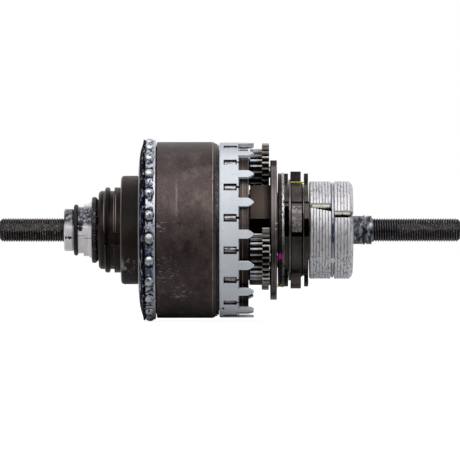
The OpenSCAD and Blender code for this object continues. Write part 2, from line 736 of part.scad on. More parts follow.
module driver() color("#6b6156")
    difference() {
        turned([[driver_mouth_r, driver_left], [driver_rim_d / 2 - 0.8, driver_left],
                [driver_rim_d / 2, driver_left + 0.8], [driver_rim_d / 2, land_left],
                [sprocket_seat_d / 2 - 0.5, land_left], [sprocket_seat_d / 2, land_left + 0.5],
                [sprocket_seat_d / 2, land_right - 0.5], [sprocket_seat_d / 2 - 0.5, land_right],
                [driver_rim_d / 2, land_right], [driver_rim_d / 2, seat_left],
                [sprocket_seat_d / 2, seat_left], [sprocket_seat_d / 2, seat_right],
                [driver_tube_r, seat_right], [driver_tube_r, first_plate_left - seat_gap],
                [driver_spigot_r, first_plate_left - seat_gap], [driver_spigot_r, first_plate_right],
                [driver_bore_r, first_plate_right], [driver_bore_r, cup_race_sum - driver_bore_r],
                [driver_mouth_r, cup_race_sum - driver_mouth_r]]);
        // The sprocket's lugs enter here
        for (i = [0:2])
            outward_prism(lug_notch_turn + i * 120, land_left - 0.5,
                          sprocket_seat_d / 2 - lug_notch_depth, sprocket_seat_d / 2 + past,
                          [[-lug_notch_w / 2, 0], [lug_notch_w / 2, 0],
                           [lug_notch_w / 2, seat_right - land_left + past],
                           [-lug_notch_w / 2, seat_right - land_left + past]]);
    }

module driver_dust_cap() color("#1f1f21")
    turned([[driver_tube_r + seat_gap, cap_left], [dust_cap_d / 2 - dust_cap_edge, cap_left],
            [dust_cap_d / 2 - 0.3 * dust_cap_edge, cap_left + 0.3 * dust_cap_edge],
            [dust_cap_d / 2, cap_left + dust_cap_edge], [dust_cap_d / 2, cap_right],
            [dust_cap_d / 2 - dust_cap_wall, cap_right],
            [dust_cap_d / 2 - dust_cap_wall, cap_left + dust_cap_disc_w],
            [driver_tube_r + dust_cap_wall, cap_left + dust_cap_disc_w],
            [driver_tube_r + dust_cap_wall, cap_right], [driver_tube_r + seat_gap, cap_right]]);

module first_planet_carrier() color("#6d675e")
    difference() {
        union() {
            ring(first_plate_r, driver_spigot_r + seat_gap, first_plate_left, first_plate_right);
            ring(first_plate_r, core_running_r, first_end_plate_left, first_end_plate_right);
            for (i = [0:first_planet_count - 1]) {
                middle = (i + 0.5) * 360 / first_planet_count;
                ring_sector(first_plate_r - 0.5, first_pin_circle_r - first_pin_d / 2,
                            first_plate_right - 0.1, first_end_plate_left + 0.1,
                            middle - first_pillar_angle / 2, middle + first_pillar_angle / 2);
            }
        }
        for (i = [0:first_planet_count - 1])
            pin(i * 360 / first_planet_count, first_pin_circle_r, first_pin_d / 2 + seat_gap,
                first_plate_left - past, first_end_plate_right + past);
    }

module first_planet_pins() color("#b0aea8")
    for (i = [0:first_planet_count - 1])
        pin(i * 360 / first_planet_count, first_pin_circle_r, first_pin_d / 2,
            first_plate_left, first_end_plate_right);

// A planet of the first stage: a space of its teeth faces the sun gear
module first_planet_gear(i) color("#94918b")
    around_axle(i * 360 / first_planet_count, first_gear_left)
        translate([first_pin_circle_r, 0, 0])
            gear(first_planet_teeth, first_module, first_pin_d / 2 + running_gap, first_gear_w,
                 180 - 180 / first_planet_teeth);

module driver_ball_cage() color("#8b8d90")
    difference() {
        turned([[driver_cage_bore_r, driver_cage_left], [driver_cage_mouth_r, driver_cage_left],
                [driver_cage_mouth_r, driver_cage_bend_x], [driver_cage_outer_r, driver_cage_bend_x],
                [driver_cage_outer_r, driver_cage_right], [driver_cage_inner_r, driver_cage_right],
                [driver_cage_inner_r, driver_cage_bend_x + driver_cage_bend_w],
                [driver_cage_bore_r, driver_cage_bend_x]]);
        balls(driver_ball_count, driver_ball_circle_r, driver_ball_r + ball_gap, driver_ball_x);
    }

module driver_balls() color("#d7d9db")
    balls(driver_ball_count, driver_ball_circle_r, driver_ball_r, driver_ball_x);

// A pressed cage: a dished wall on the left with a lip, and fingers between the balls
module hub_ball_cage() color("#3b4250")
    difference() {
        turned(concat([[hub_cage_hole_d / 2, hub_cage_left]],
                      [for (place = hub_cage_dish) [hub_ball_circle_r + place[0], hub_cage_left + place[1]]],
                      [[hub_cage_outer_r, hub_cage_right], [hub_cage_inner_r, hub_cage_right],
                       [hub_cage_inner_r, hub_cage_left + hub_cage_bend_w],
                       [hub_race_r + hub_cage_foot_h, hub_cage_left + hub_cage_foot_w],
                       [hub_cage_hole_d / 2, hub_cage_left + hub_cage_wall]]));
        balls(hub_ball_count, hub_ball_circle_r, hub_ball_r + ball_gap, hub_ball_x);
    }

module hub_balls() color("#dcdee0")
    balls(hub_ball_count, hub_ball_circle_r, hub_ball_r, hub_ball_x);

module ring_gear_drum() color("#3c3027")
    difference() {
        turned([[driver_tube_r + running_gap, drum_wall_left], [hub_race_r - hub_race_wall, drum_wall_left],
                [hub_race_r - hub_race_wall, hub_race_left], [hub_race_r, hub_race_left],
                [hub_race_r, hub_race_r - hub_race_slope], [hub_race_slope + drum_left, drum_left],
                [drum_r - drum_left_edge, drum_left], [drum_r, drum_left + drum_left_edge],
                [drum_r, drum_right - drum_bevel_w], [drum_r - drum_bevel_h, drum_right],
                [driver_tube_r + running_gap, drum_right]]);
        // A space of the teeth lies half a tooth from the first planet
        around_axle(180 / first_ring_teeth, drum_wall_right)
            inner_teeth(first_ring_teeth, first_module, drum_right - drum_wall_right + past);
    }

module drum_stop_ring() color("#2b2622")
    turned([[cam_seat_r + seat_gap, stop_ring_left], [stop_ring_d / 2, stop_ring_left],
            [stop_ring_d / 2, stop_ring_left + stop_ring_lip_w],
            [stop_ring_d / 2 - stop_ring_lip_h, stop_ring_left + stop_ring_lip_w],
            [stop_ring_d / 2 - stop_ring_lip_h, stop_ring_right],
            [cam_seat_r + seat_gap, stop_ring_right]]);

// A flat of the cam lies under each roller
module clutch_cam() color("#8a857c")
    difference() {
        union() {
            around_axle(clutch_turn, stop_ring_right)
                linear_extrude(cam_right - stop_ring_right)
                    polygon([for (i = [0:clutch_roller_count - 1])
                        cam_corner_r * [cos((i + 0.5) * clutch_pitch), sin((i + 0.5) * clutch_pitch)]]);
            ring(cam_seat_r, 0, cam_left, stop_ring_right + 0.1);
        }
        ring(cam_bore_r, 0, cam_left - past, cam_right + past);
    }

// A pointed finger, from an outline of [place round the axle, place along the axle]
finger_steps = [0:0.2:0.8];
finger_side = [for (t = finger_steps)
    [finger_w / 2 * (1 - pow(t, 1.7)), finger_length - finger_point * (1 - t)]];
finger_outline = concat(
    [[-finger_w / 2, -past], [finger_w / 2, -past]],
    finger_side,
    [[0, finger_length]],
    [for (i = [len(finger_side) - 1:-1:0]) [-finger_side[i][0], finger_side[i][1]]]);

module clutch_roller_cage() color("#74808e") {
    window_w = clutch_roller_d + 2 * roller_window_gap;
    window_length = clutch_roller_w + 2 * roller_window_gap;
    difference() {
        ring(clutch_cage_r, clutch_cage_inner_r, clutch_cage_left, clutch_cage_right, 0.4);
        for (i = [0:clutch_roller_count - 1])
            outward_prism(clutch_turn + i * clutch_pitch, clutch_roller_x,
                          clutch_cage_inner_r - past, clutch_cage_r + past,
                          [[-window_w / 2, -window_length / 2], [window_w / 2, -window_length / 2],
                           [window_w / 2, window_length / 2], [cage_slit_w / 2, window_length / 2],
                           [cage_slit_w / 2, clutch_cage_w], [-cage_slit_w / 2, clutch_cage_w],
                           [-cage_slit_w / 2, window_length / 2], [-window_w / 2, window_length / 2]]);
        // A small notch in the left edge
        outward_prism(153, clutch_cage_left, clutch_cage_r - 0.8, clutch_cage_r + past,
                      [[-1, -past], [1, -past], [1, 1.9], [-1, 1.9]]);
    }
    intersection() {
        ring(clutch_cage_r, clutch_cage_r - finger_thickness, clutch_cage_right - past,
             clutch_cage_right + finger_length + past);
        for (i = [0:clutch_roller_count - 1])
            outward_prism(clutch_turn + (i + 0.5) * clutch_pitch, clutch_cage_right,
                          clutch_cage_inner_r, clutch_cage_r + past, finger_outline);
    }
}

module clutch_rollers() color("#c8c9c8")
    for (i = [0:clutch_roller_count - 1])
        pin(clutch_turn + i * clutch_pitch, clutch_roller_circle_r, clutch_roller_r,
            clutch_roller_x - clutch_roller_w / 2, clutch_roller_x + clutch_roller_w / 2);

module output_ring_gear() color("#7d756b")
    difference() {
        ring(output_ring_d / 2, gear_root_r(output_ring_teeth, second_module) - past,
             output_ring_left, output_ring_right, 0.25);
        around_axle(carrier_turn, output_ring_left - past)
            inner_teeth(output_ring_teeth, second_module, output_ring_w + 2 * past);
    }

// A planet of the second stage: three gears in one piece, and a tooth of the small one points outwards
module second_planet_gear(i) color("#8b8378")
    around_axle(carrier_turn + i * 360 / second_planet_count)
        translate([second_pin_circle_r, 0, 0]) {
            translate([0, 0, output_ring_left])
                gear(small_planet_teeth, second_module, planet_bore_r, output_ring_w - 0.2);
            translate([0, 0, output_ring_right - 0.2])
                difference() {
                    cylinder(r = gear_root_r(small_planet_teeth, second_module),
                             h = locked_gear_left - output_ring_right + 0.2, $fn = 48);
                    translate([0, 0, -past])
                        cylinder(r = planet_bore_r, h = 2 + 2 * past, $fn = 48);
                }
            translate([0, 0, locked_gear_left])
                gear(locked_planet_teeth, second_module, planet_bore_r, locked_gear_w,
                     180 - 180 / locked_planet_teeth);
            translate([0, 0, locked_gear_right])
                gear(free_planet_teeth, second_module, planet_bore_r, free_gear_w,
                     180 - 180 / free_planet_teeth);
        }

// Holes for the planet pins, right through
module planet_pin_holes(left, right)
    for (i = [0:second_planet_count - 1])
        pin(carrier_turn + i * 360 / second_planet_count, second_pin_circle_r,
            second_pin_d / 2 + seat_gap, left - past, right + past);

pillar_outline = [
    [pillar_inner_r, pillar_left], [pillar_r - pillar_rounding, pillar_left],
    for (a = [22.5:22.5:67.5])
        [pillar_r - pillar_rounding * (1 - sin(a)), pillar_left + pillar_rounding * (1 - cos(a))],
    [pillar_r, pillar_left + pillar_rounding], [pillar_r, right_plate_left - seat_gap],
    [pillar_inner_r, right_plate_left - seat_gap]];

// Takes the upper left corner off a pillar in a hollow curve, which leaves the neck whole
module pillar_corner_cut(turn)
    outward_prism(turn, pillar_left - past, pillar_inner_r - past, pillar_r + past,
                  [[-past, 0], [3 * pillar_corner, 0], [3 * pillar_corner, past],
                   [1.6 * pillar_corner, past + 0.2 * pillar_corner],
                   [0.7 * pillar_corner, past + 0.5 * pillar_corner],
                   [-past, 1.7 * past + pillar_corner]]);

module planet_carrier() color("#4a3b2f")
    difference() {
        union() {
            ring(left_plate_d / 2, core_running_r, left_plate_left, left_plate_right, 0.2);
            for (i = [0:second_planet_count - 1]) {
                middle = carrier_turn + pillar_offset + i * 360 / second_planet_count;
                ring_sector(pillar_r - 2, pillar_inner_r, left_plate_right - 0.1, pillar_left + 0.1,
                            middle - pillar_neck_angle / 2, middle + pillar_neck_angle / 2);
                difference() {
                    intersection() {
                        turned(pillar_outline);
                        around_axle(along = pillar_left - past)
                            linear_extrude(right_plate_left - pillar_left + 2 * past)
                                wedge(pillar_r + past, middle - pillar_angle / 2,
                                      middle + pillar_angle / 2);
                    }
                    pillar_corner_cut(middle - pillar_angle / 2);
                }
            }
        }
        planet_pin_holes(left_plate_left, left_plate_right);
    }

module carrier_plate() color("#6a6157")
    difference() {
        union() {
            ring(right_plate_d / 2, core_running_r, right_plate_left, right_plate_right, 0.25);
            ring(carrier_tube_r, core_running_r, right_plate_right - 0.1, right_drive_ring_right);
            for (i = [0:plate_lug_count - 1]) {
                middle = carrier_turn + i * 360 / plate_lug_count;
                ring_sector(right_plate_lugs_d / 2, right_plate_d / 2 - 2, right_plate_left,
                            right_plate_right, middle - plate_lug_angle / 2,
                            middle + plate_lug_angle / 2);
            }
        }
        planet_pin_holes(right_plate_left, right_plate_right);
    }

module second_planet_pins() color("#b5b2aa")
    for (i = [0:second_planet_count - 1])
        pin(carrier_turn + i * 360 / second_planet_count, second_pin_circle_r, second_pin_d / 2,
            left_plate_left, right_plate_right + 0.1);

module carrier_thrust_ring() color("#2a2724")
    ring(thrust_ring_d / 2, ring_bore_r, thrust_ring_left, thrust_ring_right, 0.25);

module carrier_bright_ring() color("#aaa7a0")
    ring(bright_ring_d / 2, ring_bore_r, bright_ring_left, bright_ring_right, 0.15);

// A ring with wide lugs; the lugs can be narrower than the ring
module drive_ring(lugs_r, left, right, lugs_right) {
    ring(drive_ring_d / 2, ring_bore_r, left, right);
    for (i = [0:ring_lug_count - 1]) {
        middle = ring_lug_turn + i * 360 / ring_lug_count;
        ring_sector(lugs_r, drive_ring_d / 2 - 0.5, left, lugs_right,
                    middle - ring_lug_angle / 2, middle + ring_lug_angle / 2);
    }
}

module brake_drive_ring_left() color("#2d2925")
    drive_ring(narrow_lugs_d / 2, left_drive_ring_left, left_drive_ring_right, left_drive_ring_right);

module brake_spacer_ring() color("#3a3631")
    ring(drive_ring_d / 2 + 1.5, ring_bore_r, spacer_ring_left, spacer_ring_right, 0.1);

module brake_drive_ring_middle() color("#2b2825")
    drive_ring(wide_lugs_d / 2, middle_drive_ring_left, middle_drive_ring_right, middle_lugs_right);

module friction_ring() color("#b5b455")
    around_axle(along = middle_drive_ring_right + 0.35)
        rotate_extrude($fn = round_faces)
            translate([drive_ring_d / 2 - friction_wire_d, 0])
                circle(d = friction_wire_d, $fn = 16);

module brake_drive_ring_right() color("#2d2925")
    drive_ring(narrow_lugs_d / 2, right_drive_ring_left, right_drive_ring_right, right_drive_ring_right);

// The cam has one flat under each brake roller
module brake_cam() color("#7d7a74")
    around_axle(first_shoe_turn, brake_cam_left)
        linear_extrude(brake_cage_right - brake_cam_left)
            difference() {
                circle(r = brake_cam_r, $fn = round_faces);
                circle(r = core_running_r, $fn = 48);
                for (i = [0:shoe_count - 1])
                    rotate(i * 360 / shoe_count)
                        translate([brake_cam_flat_r, -brake_cam_r])
                            square(2 * brake_cam_r);
            }

module brake_roller_cage() color("#7a7772")
    difference() {
        ring(brake_cage_outer_r, brake_cage_inner_r, brake_cage_left, brake_cage_right, 0.2);
        for (i = [0:shoe_count - 1])
            outward_prism(first_shoe_turn + i * 360 / shoe_count, (brake_cage_left + brake_cage_right) / 2,
                          brake_cage_inner_r - past, brake_cage_outer_r + past,
                          [[-brake_roller_r - 0.1, -brake_roller_w / 2 - 0.15],
                           [brake_roller_r + 0.1, -brake_roller_w / 2 - 0.15],
                           [brake_roller_r + 0.1, brake_roller_w / 2 + 0.15],
                           [-brake_roller_r - 0.1, brake_roller_w / 2 + 0.15]]);
    }

module brake_roller(i) color("#cfd0cf")
    pin(first_shoe_turn + i * 360 / shoe_count, brake_roller_circle_r, brake_roller_r,
        (brake_cage_left + brake_cage_right - brake_roller_w) / 2,
        (brake_cage_left + brake_cage_right + brake_roller_w) / 2);

// Ridges between two places along the axle, as points of [radius, place]
function ridges(left, right, count) =
    let (pitch = (right - left) / count)
    [for (i = [0:count - 1])
        each [[shoe_r, left + i * pitch + 0.15], [shoe_r, left + (i + 1) * pitch - 0.25],
              [shoe_r - shoe_ridge_h, left + (i + 1) * pitch - 0.05]]];

shoe_outline = concat(
    [[shoe_bore_r, shoe_left], [shoe_r - shoe_end_step, shoe_left]],
    ridges(shoe_left + 0.3, shoe_groove_left, 7),
    [[shoe_groove_r, shoe_groove_left], [shoe_groove_r, shoe_groove_right]],
    ridges(shoe_groove_right, shoe_right - shoe_end_taper, 5),
    [[shoe_r - shoe_end_step, shoe_right - shoe_end_taper],
     [shoe_r - shoe_end_shoulder, shoe_right - shoe_end_step],
     [shoe_r - shoe_end_slope, shoe_right],
     [shoe_bore_r + shoe_end_step, shoe_right], [shoe_bore_r, shoe_right - shoe_end_step]]);

// Clears what lies before an edge (side -1) or what lies after it (side 1)
module past_edge(turn, along, lean, side)
    around_axle(turn, along)
        rotate([-lean, 0, 0])
            translate([0, side > 0 ? 0 : -shoe_r, -shoe_w])
                cube([shoe_d, shoe_r, 2 * shoe_w]);

// Half a shoe, between two places along the axle and between the edges of two slits
module shoe_half(left, right, first_edge, first_lean, last_edge)
    difference() {
        intersection() {
            turned(shoe_outline);
            around_axle(along = left)
                linear_extrude(right - left)
                    wedge(shoe_r + past, first_edge - shoe_spare_angle, last_edge + shoe_spare_angle);
        }
        past_edge(first_edge, (left + right) / 2, first_lean, -1);
        past_edge(last_edge, (left + right) / 2, 0, 1);
    }

// The slit opens towards the groove in the left half and runs straight in the right half
module brake_shoe(i) color("#b9b3a6") {
    slit = shoe_slit_turn + i * 360 / shoe_count;
    first_edge = slit + shoe_slit_angle / 2;
    last_edge = slit + 360 / shoe_count - shoe_slit_angle / 2;
    lean = atan(shoe_slit_lean * PI / 180 * shoe_r / (shoe_groove_right - shoe_left));
    difference() {
        union() {
            shoe_half(shoe_left - past, shoe_groove_right - 0.1, first_edge, lean, last_edge);
            shoe_half(shoe_groove_right - 0.2, shoe_right + past, first_edge + shoe_slit_step,
                      0, last_edge + shoe_slit_step);
        }
        // The spring's end hooks in here
        around_axle(slit + hook_hole_turn, shoe_groove_left + shoe_groove_w / 2)
            translate([shoe_bore_r - past, 0, 0])
                rotate([0, 90, 0])
                    cylinder(d = hook_hole_d, h = shoe_r, $fn = 24);
    }
}

module brake_shoe_spring() color("#8d8f92")
    around_axle(along = shoe_groove_left + shoe_groove_w / 2)
        rotate_extrude($fn = round_faces)
            translate([shoe_spring_r, 0])
                circle(d = shoe_spring_wire_d, $fn = 16);

axle();
drive_locknut();
drive_o_ring();
drive_cone();
cone_dust_seal();
first_sun_gear();
locked_sun_gear();
brake_cone();
sleeve_return_spring();
shift_sleeve();
driver();
driver_dust_cap();
first_planet_carrier();
first_planet_pins();
driver_ball_cage();
driver_balls();
hub_ball_cage();
hub_balls();
ring_gear_drum();
drum_stop_ring();
clutch_cam();
output_ring_gear();
first_planet_gear(0);  // first_planet_gear_1
first_planet_gear(1);  // first_planet_gear_2
first_planet_gear(2);  // first_planet_gear_3
first_planet_gear(3);  // first_planet_gear_4
clutch_roller_cage();
clutch_rollers();
planet_carrier();
carrier_plate();
second_planet_pins();
carrier_thrust_ring();
carrier_bright_ring();
brake_drive_ring_left();
brake_spacer_ring();
brake_drive_ring_middle();
friction_ring();
brake_drive_ring_right();
brake_cam();
second_planet_gear(0);  // second_planet_gear_1
second_planet_gear(1);  // second_planet_gear_2
second_planet_gear(2);  // second_planet_gear_3
free_sun_gear();
brake_roller_cage();
brake_roller(0);  // brake_roller_1
brake_roller(1);  // brake_roller_2
brake_roller(2);  // brake_roller_3
brake_shoe(0);  // brake_shoe_1
brake_shoe(1);  // brake_shoe_2
brake_shoe(2);  // brake_shoe_3
brake_shoe_spring();
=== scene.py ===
"""Looks of the coaster brake hub's gear and brake unit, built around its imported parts.

It is laid out as an add-on and run as a script. Lengths in comments are in millimetres.
"""

import math
from functools import cached_property, partial, reduce

import bpy
from bpy.props import FloatProperty, FloatVectorProperty, IntProperty, PointerProperty
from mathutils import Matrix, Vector


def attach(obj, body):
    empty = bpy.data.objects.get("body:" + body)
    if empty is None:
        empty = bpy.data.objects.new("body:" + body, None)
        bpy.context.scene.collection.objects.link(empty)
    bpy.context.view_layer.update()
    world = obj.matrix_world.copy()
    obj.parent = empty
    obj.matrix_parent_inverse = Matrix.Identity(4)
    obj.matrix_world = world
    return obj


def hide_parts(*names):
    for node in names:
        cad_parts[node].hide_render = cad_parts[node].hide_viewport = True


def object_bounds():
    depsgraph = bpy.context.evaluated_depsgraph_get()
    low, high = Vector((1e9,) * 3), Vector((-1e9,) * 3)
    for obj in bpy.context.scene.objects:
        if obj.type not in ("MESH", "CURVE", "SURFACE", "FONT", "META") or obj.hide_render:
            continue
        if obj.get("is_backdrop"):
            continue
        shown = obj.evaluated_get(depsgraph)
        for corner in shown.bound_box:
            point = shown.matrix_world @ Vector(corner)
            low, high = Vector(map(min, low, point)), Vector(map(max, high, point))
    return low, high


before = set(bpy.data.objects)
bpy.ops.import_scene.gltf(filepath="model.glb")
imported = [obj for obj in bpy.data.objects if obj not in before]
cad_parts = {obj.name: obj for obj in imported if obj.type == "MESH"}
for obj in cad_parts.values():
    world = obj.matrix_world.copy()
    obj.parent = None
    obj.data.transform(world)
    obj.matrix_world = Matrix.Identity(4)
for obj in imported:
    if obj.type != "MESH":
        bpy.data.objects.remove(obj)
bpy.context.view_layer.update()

bl_info = {
    "name": "Coaster brake hub",
    "version": (1, 0, 0),
    "blender": (4, 5, 0),
    "location": "View3D > Sidebar > Hub",
    "description": "Finishes and fine detail of a coaster brake hub's inner unit",
    "category": "Object",
}

MM = 0.001


def linear(colour):
    """The linear colour of an sRGB hex value. A linear colour stays as it is."""
    if not isinstance(colour, str):
        return colour
    parts = [int(colour[i : i + 2], 16) / 255 for i in (1, 3, 5)]
    return tuple(
        p / 12.92 if p <= 0.04045 else ((p + 0.055) / 1.055) ** 2.4 for p in parts
    ) + (1.0,)


def darker(colour, share):
    """The same colour with a share of its light."""
    return tuple(c * share for c in linear(colour)[:3]) + (1.0,)


def colour_setting(name, description, code):
    """A colour that a user can change in the panel."""
    return FloatVectorProperty(
        name=name,
        description=description,
        default=linear(code),
        size=4,
        min=0,
        max=1,
        subtype="COLOR",
    )


def length_setting(name, description, millimetres):
    """A length that a user can change in the panel."""
    return FloatProperty(
        name=name,
        description=description,
        default=millimetres * MM,
        min=0,
        precision=5,
        unit="LENGTH",
        subtype="DISTANCE",
    )


class HubSizes(bpy.types.PropertyGroup):
    """Sizes of the fine detail that the solids leave out."""

    thread_pitch: length_setting(
        "Thread pitch", "Distance between two crests of the thread", 0.977
    )
    thread_depth: length_setting("Thread depth", "Height of a crest above the root", 0.52)
    flats_across: length_setting("Across the flats", "Thickness of the axle at its flats", 8.14)
    grease_blob: length_setting("Grease blob", "Radius of the largest blob of grease", 0.8)
    grease_count: IntProperty(
        name="Grease blobs",
        description="Blobs of grease between the hub's balls",
        default=150,
        min=10,
        max=2000,
    )


class HubColours(bpy.types.PropertyGroup):
    """Colours of the finishes that a user would change."""

    axle: colour_setting("Axle", "Blackened thread of the axle", "#6a625f")
    plated: colour_setting("Plated steel", "Locknut and cone", "#f0ecef")
    rubber: colour_setting("Rubber", "Ring and dust seal", "#1b1b1f")
    driver: colour_setting("Driver", "Blackened driver", "#352c28")
    drum: colour_setting("Drum", "Hardened drum", "#524847")
    plastic: colour_setting("Roller cage", "Pale grey nylon", "#dde2e8")
    gear: colour_setting("Gears", "Planet gears", "#98918c")
    carrier: colour_setting("Carrier", "Planet carrier", "#5b5049")
    drive_ring: colour_setting("Drive rings", "Rings with wide lugs", "#5a5452")
    shoe: colour_setting("Brake shoes", "Plated brake shoes", "#dfdde0")
    grease: colour_setting("Grease", "Grease of the bearings", "#98a1b4")
    wire_grease: colour_setting(
        "Yellow grease", "Yellow grease and the wire that it coats", "#c9c65a"
    )
    paint: colour_setting("Paint mark", "Spot of marking paint", "#b0148c")


def add(tree, kind, inputs=(), **settings):
    """Adds a node with its settings. The inputs are a dict, or a row from the first one on.

    An input takes a number, an output or a node, which gives its first output.
    """
    node = tree.nodes.new(kind)
    for name, value in settings.items():
        setattr(node, name, value)
    for key, value in inputs.items() if isinstance(inputs, dict) else enumerate(inputs):
        if isinstance(value, bpy.types.Node):
            value = value.outputs[0]
        if isinstance(value, bpy.types.NodeSocket):
            tree.links.new(value, node.inputs[key])
        else:
            node.inputs[key].default_value = value
    return node


# Balls of the hub's bearing: their number, place along the axle, circle and first turn
BALL_COUNT = 24
BALL_PLACE = -32.0
BALL_CIRCLE_R = 34.3
FIRST_BALL_TURN = math.radians(5.5)


class Finish:
    """A material built up in coats. A mask is 1 where a coat lies and 0 elsewhere."""

    def __init__(self, name, **sockets):
        """The sockets hold what is the same all over."""
        self.material = bpy.data.materials.new(name)
        self.material.use_nodes = True
        self.tree = self.material.node_tree
        self.tree.nodes.clear()
        self.add = partial(add, self.tree)
        inputs = {key.replace("_", " "): value for key, value in sockets.items()}
        self.shader = self.add("ShaderNodeBsdfPrincipled", inputs)
        self.end = self.add("ShaderNodeOutputMaterial", {"Surface": self.shader})

    def mapped(self, shift, scale):
        """A point of the surface, scaled and then shifted."""
        point = self.add("ShaderNodeTexCoord").outputs["Object"]
        return self.add("ShaderNodeMapping", {"Vector": point, "Location": shift, "Scale": scale})

    def grain(self, size, detail=3.0, shift=0.0, low=0.34, high=0.66):
        """A cloudy mask, with spots of a size in mm, or of sizes along X, Y and Z."""
        sizes = size if isinstance(size, tuple) else (size,) * 3
        cloud = self.add(
            "ShaderNodeTexNoise",
            {
                "Vector": self.mapped(
                    (shift, 1.7 * shift, 2.3 * shift), [1 / (s * MM) for s in sizes]
                ),
                "Scale": 1.0,
                "Detail": detail,
                "Roughness": 0.6,
            },
        )
        return self.add("ShaderNodeMapRange", (cloud, low, high))

    def position(self, centre=(0.0, 0.0)):
        """Place along the axle, across it and above it in mm, from a line beside it."""
        point = self.mapped((0, -centre[0] / MM, -centre[1] / MM), (1 / MM,) * 3)
        return self.add("ShaderNodeSeparateXYZ", (point,)).outputs

    @cached_property
    def place(self):
        """The outputs of one position, by name."""
        return dict(zip(("along", "across", "height"), self.position()))

    def length(self, *parts):
        """Length of a vector that is given by its parts."""
        whole = self.add("ShaderNodeCombineXYZ", parts)
        return self.add("ShaderNodeVectorMath", (whole,), operation="LENGTH").outputs[1]

    def radius(self, centre=(0.0, 0.0)):
        """Distance in mm from the axis or a line beside it."""
        _, across, up = self.position(centre)
        return self.length(across, up)

    def from_balls(self):
        """Distance in mm from the middle of the nearest ball, along the bearing."""
        along, across, up = self.position()
        turn = self.add("ShaderNodeMath", (across, up), operation="ARCTAN2")
        past_first = self.add("ShaderNodeMath", (turn, FIRST_BALL_TURN), operation="ADD")
        # The wrapped angle is 0 at each ball's middle and changes sign between two
        half_pitch = math.pi / BALL_COUNT
        beside = self.add(
            "ShaderNodeMath", (past_first, half_pitch, -half_pitch), operation="WRAP"
        )
        past_middle = self.add("ShaderNodeMath", (along, -BALL_PLACE), operation="ADD")
        return self.length(past_middle, self.both(beside, BALL_CIRCLE_R))

    def both(self, first, second):
        """Where both masks are: their product."""
        return self.add("ShaderNodeMath", (first, second), operation="MULTIPLY")

    def band(self, value, low, high, soft=0.15):
        """1 where a value lies between low and high, fading over soft.

        It is an output, or "along" the axle, "across" it, the "height" or the "radius" in mm.
        """
        if isinstance(value, str):
            value = self.radius() if value == "radius" else self.place[value]
        rise, fall = (
            self.add("ShaderNodeMapRange", (value, edge - soft, edge + soft, *ends))
            for edge, ends in ((low, (0.0, 1.0)), (high, (1.0, 0.0)))
        )
        return self.both(rise, fall)

    def spot(self, centre, reach, ragged=0.5):
        """1 near a point given in mm, out to the reach, with a ragged edge."""
        point = self.add("ShaderNodeTexCoord").outputs["Object"]
        middle = [c * MM for c in centre]
        away = self.add("ShaderNodeVectorMath", (point, middle), operation="DISTANCE")
        rough = self.grain(0.8, shift=3.0)
        edge = self.add(
            "ShaderNodeMath",
            (rough, ragged * reach * MM, away.outputs["Value"]),
            operation="MULTIPLY_ADD",
        )
        return self.add("ShaderNodeMapRange", (edge, reach * MM, 0.8 * reach * MM))

    def worn_edges(self, reach=0.25):
        """1 on edges and 0 on faces, from how far the surface bends within the reach."""
        bevel = self.add("ShaderNodeBevel", {"Radius": reach * MM}, samples=4)
        face = self.add("ShaderNodeNewGeometry").outputs["Normal"]
        bend = self.add("ShaderNodeVectorMath", (bevel, face), operation="DOT_PRODUCT")
        return self.add("ShaderNodeMapRange", (bend.outputs["Value"], 0.985, 0.8))

    def lay(self, colour, *masks, **levels):
        """Lays a coat with another colour, Roughness or Metallic where all the masks are."""
        mask = reduce(self.both, masks)
        for name, new in {"Base Color": linear(colour), **levels}.items():
            socket = self.shader.inputs[name]
            if name == "Base Color":
                kind, first, result = "RGBA", 6, 2
                held = tuple(socket.default_value)
            else:
                kind, first, result = "FLOAT", 2, 0
                held = socket.default_value
            old = socket.links[0].from_socket if socket.links else held
            mixed = self.add(
                "ShaderNodeMix", {0: mask, first: old, first + 1: new}, data_type=kind
            )
            self.tree.links.new(mixed.outputs[result], socket)

    def grease(self, colour, *masks, roughness=0.28):
        """Lays a film of grease, which hides the metal under it."""
        self.lay(colour, *masks, Roughness=roughness, Metallic=0.25)

    def raise_up(self, mask, height):
        """Raises the surface where the mask is, by a height in mm."""
        bump = self.add(
            "ShaderNodeBump", {"Height": mask, "Distance": height * MM, "Strength": 1.0}
        )
        self.tree.links.new(bump.outputs[0], self.shader.inputs["Normal"])

    def put_on(self, *nodes):
        """Puts the finish on CAD nodes."""
        for name in nodes:
            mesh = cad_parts[name].data
            mesh.materials.clear()
            mesh.materials.append(self.material)


def worked_steel(
    name, colour, deep=0.5, worn="#9a928c", roughness=0.42, cloud=5.0, turned=0.35, **sockets
):
    """Steel with a clouded tone, a share of turning marks round the axle and worn edges.

    deep is the share of light in the darkest clouds, which are as large as cloud in mm.
    """
    steel = Finish(name, **{"Metallic": 1.0, **sockets})
    clouds = steel.grain(cloud, detail=4.0)
    # Turning marks of 0.35 run round the axle, coarser than real ones so that they show
    marks = steel.grain((0.35, 9.0, 9.0), detail=1.0, shift=5.0)
    tone = steel.add("ShaderNodeMix", {0: turned, 2: clouds, 3: marks})
    colours = {6: darker(colour, deep), 7: linear(colour)}
    base = steel.add("ShaderNodeMix", {0: tone, **colours}, data_type="RGBA")
    spread = {"To Min": roughness - 0.06, "To Max": roughness + 0.1}
    sheen = steel.add("ShaderNodeMapRange", {"Value": clouds, **spread})
    for output, socket in ((base.outputs[2], "Base Color"), (sheen.outputs[0], "Roughness")):
        steel.tree.links.new(output, steel.shader.inputs[socket])
    if turned:
        steel.raise_up(marks, 0.006)
    if worn:
        steel.lay(worn, steel.worn_edges(), steel.grain(1.5, shift=9.0), Roughness=0.3)
    return steel


# Meshes


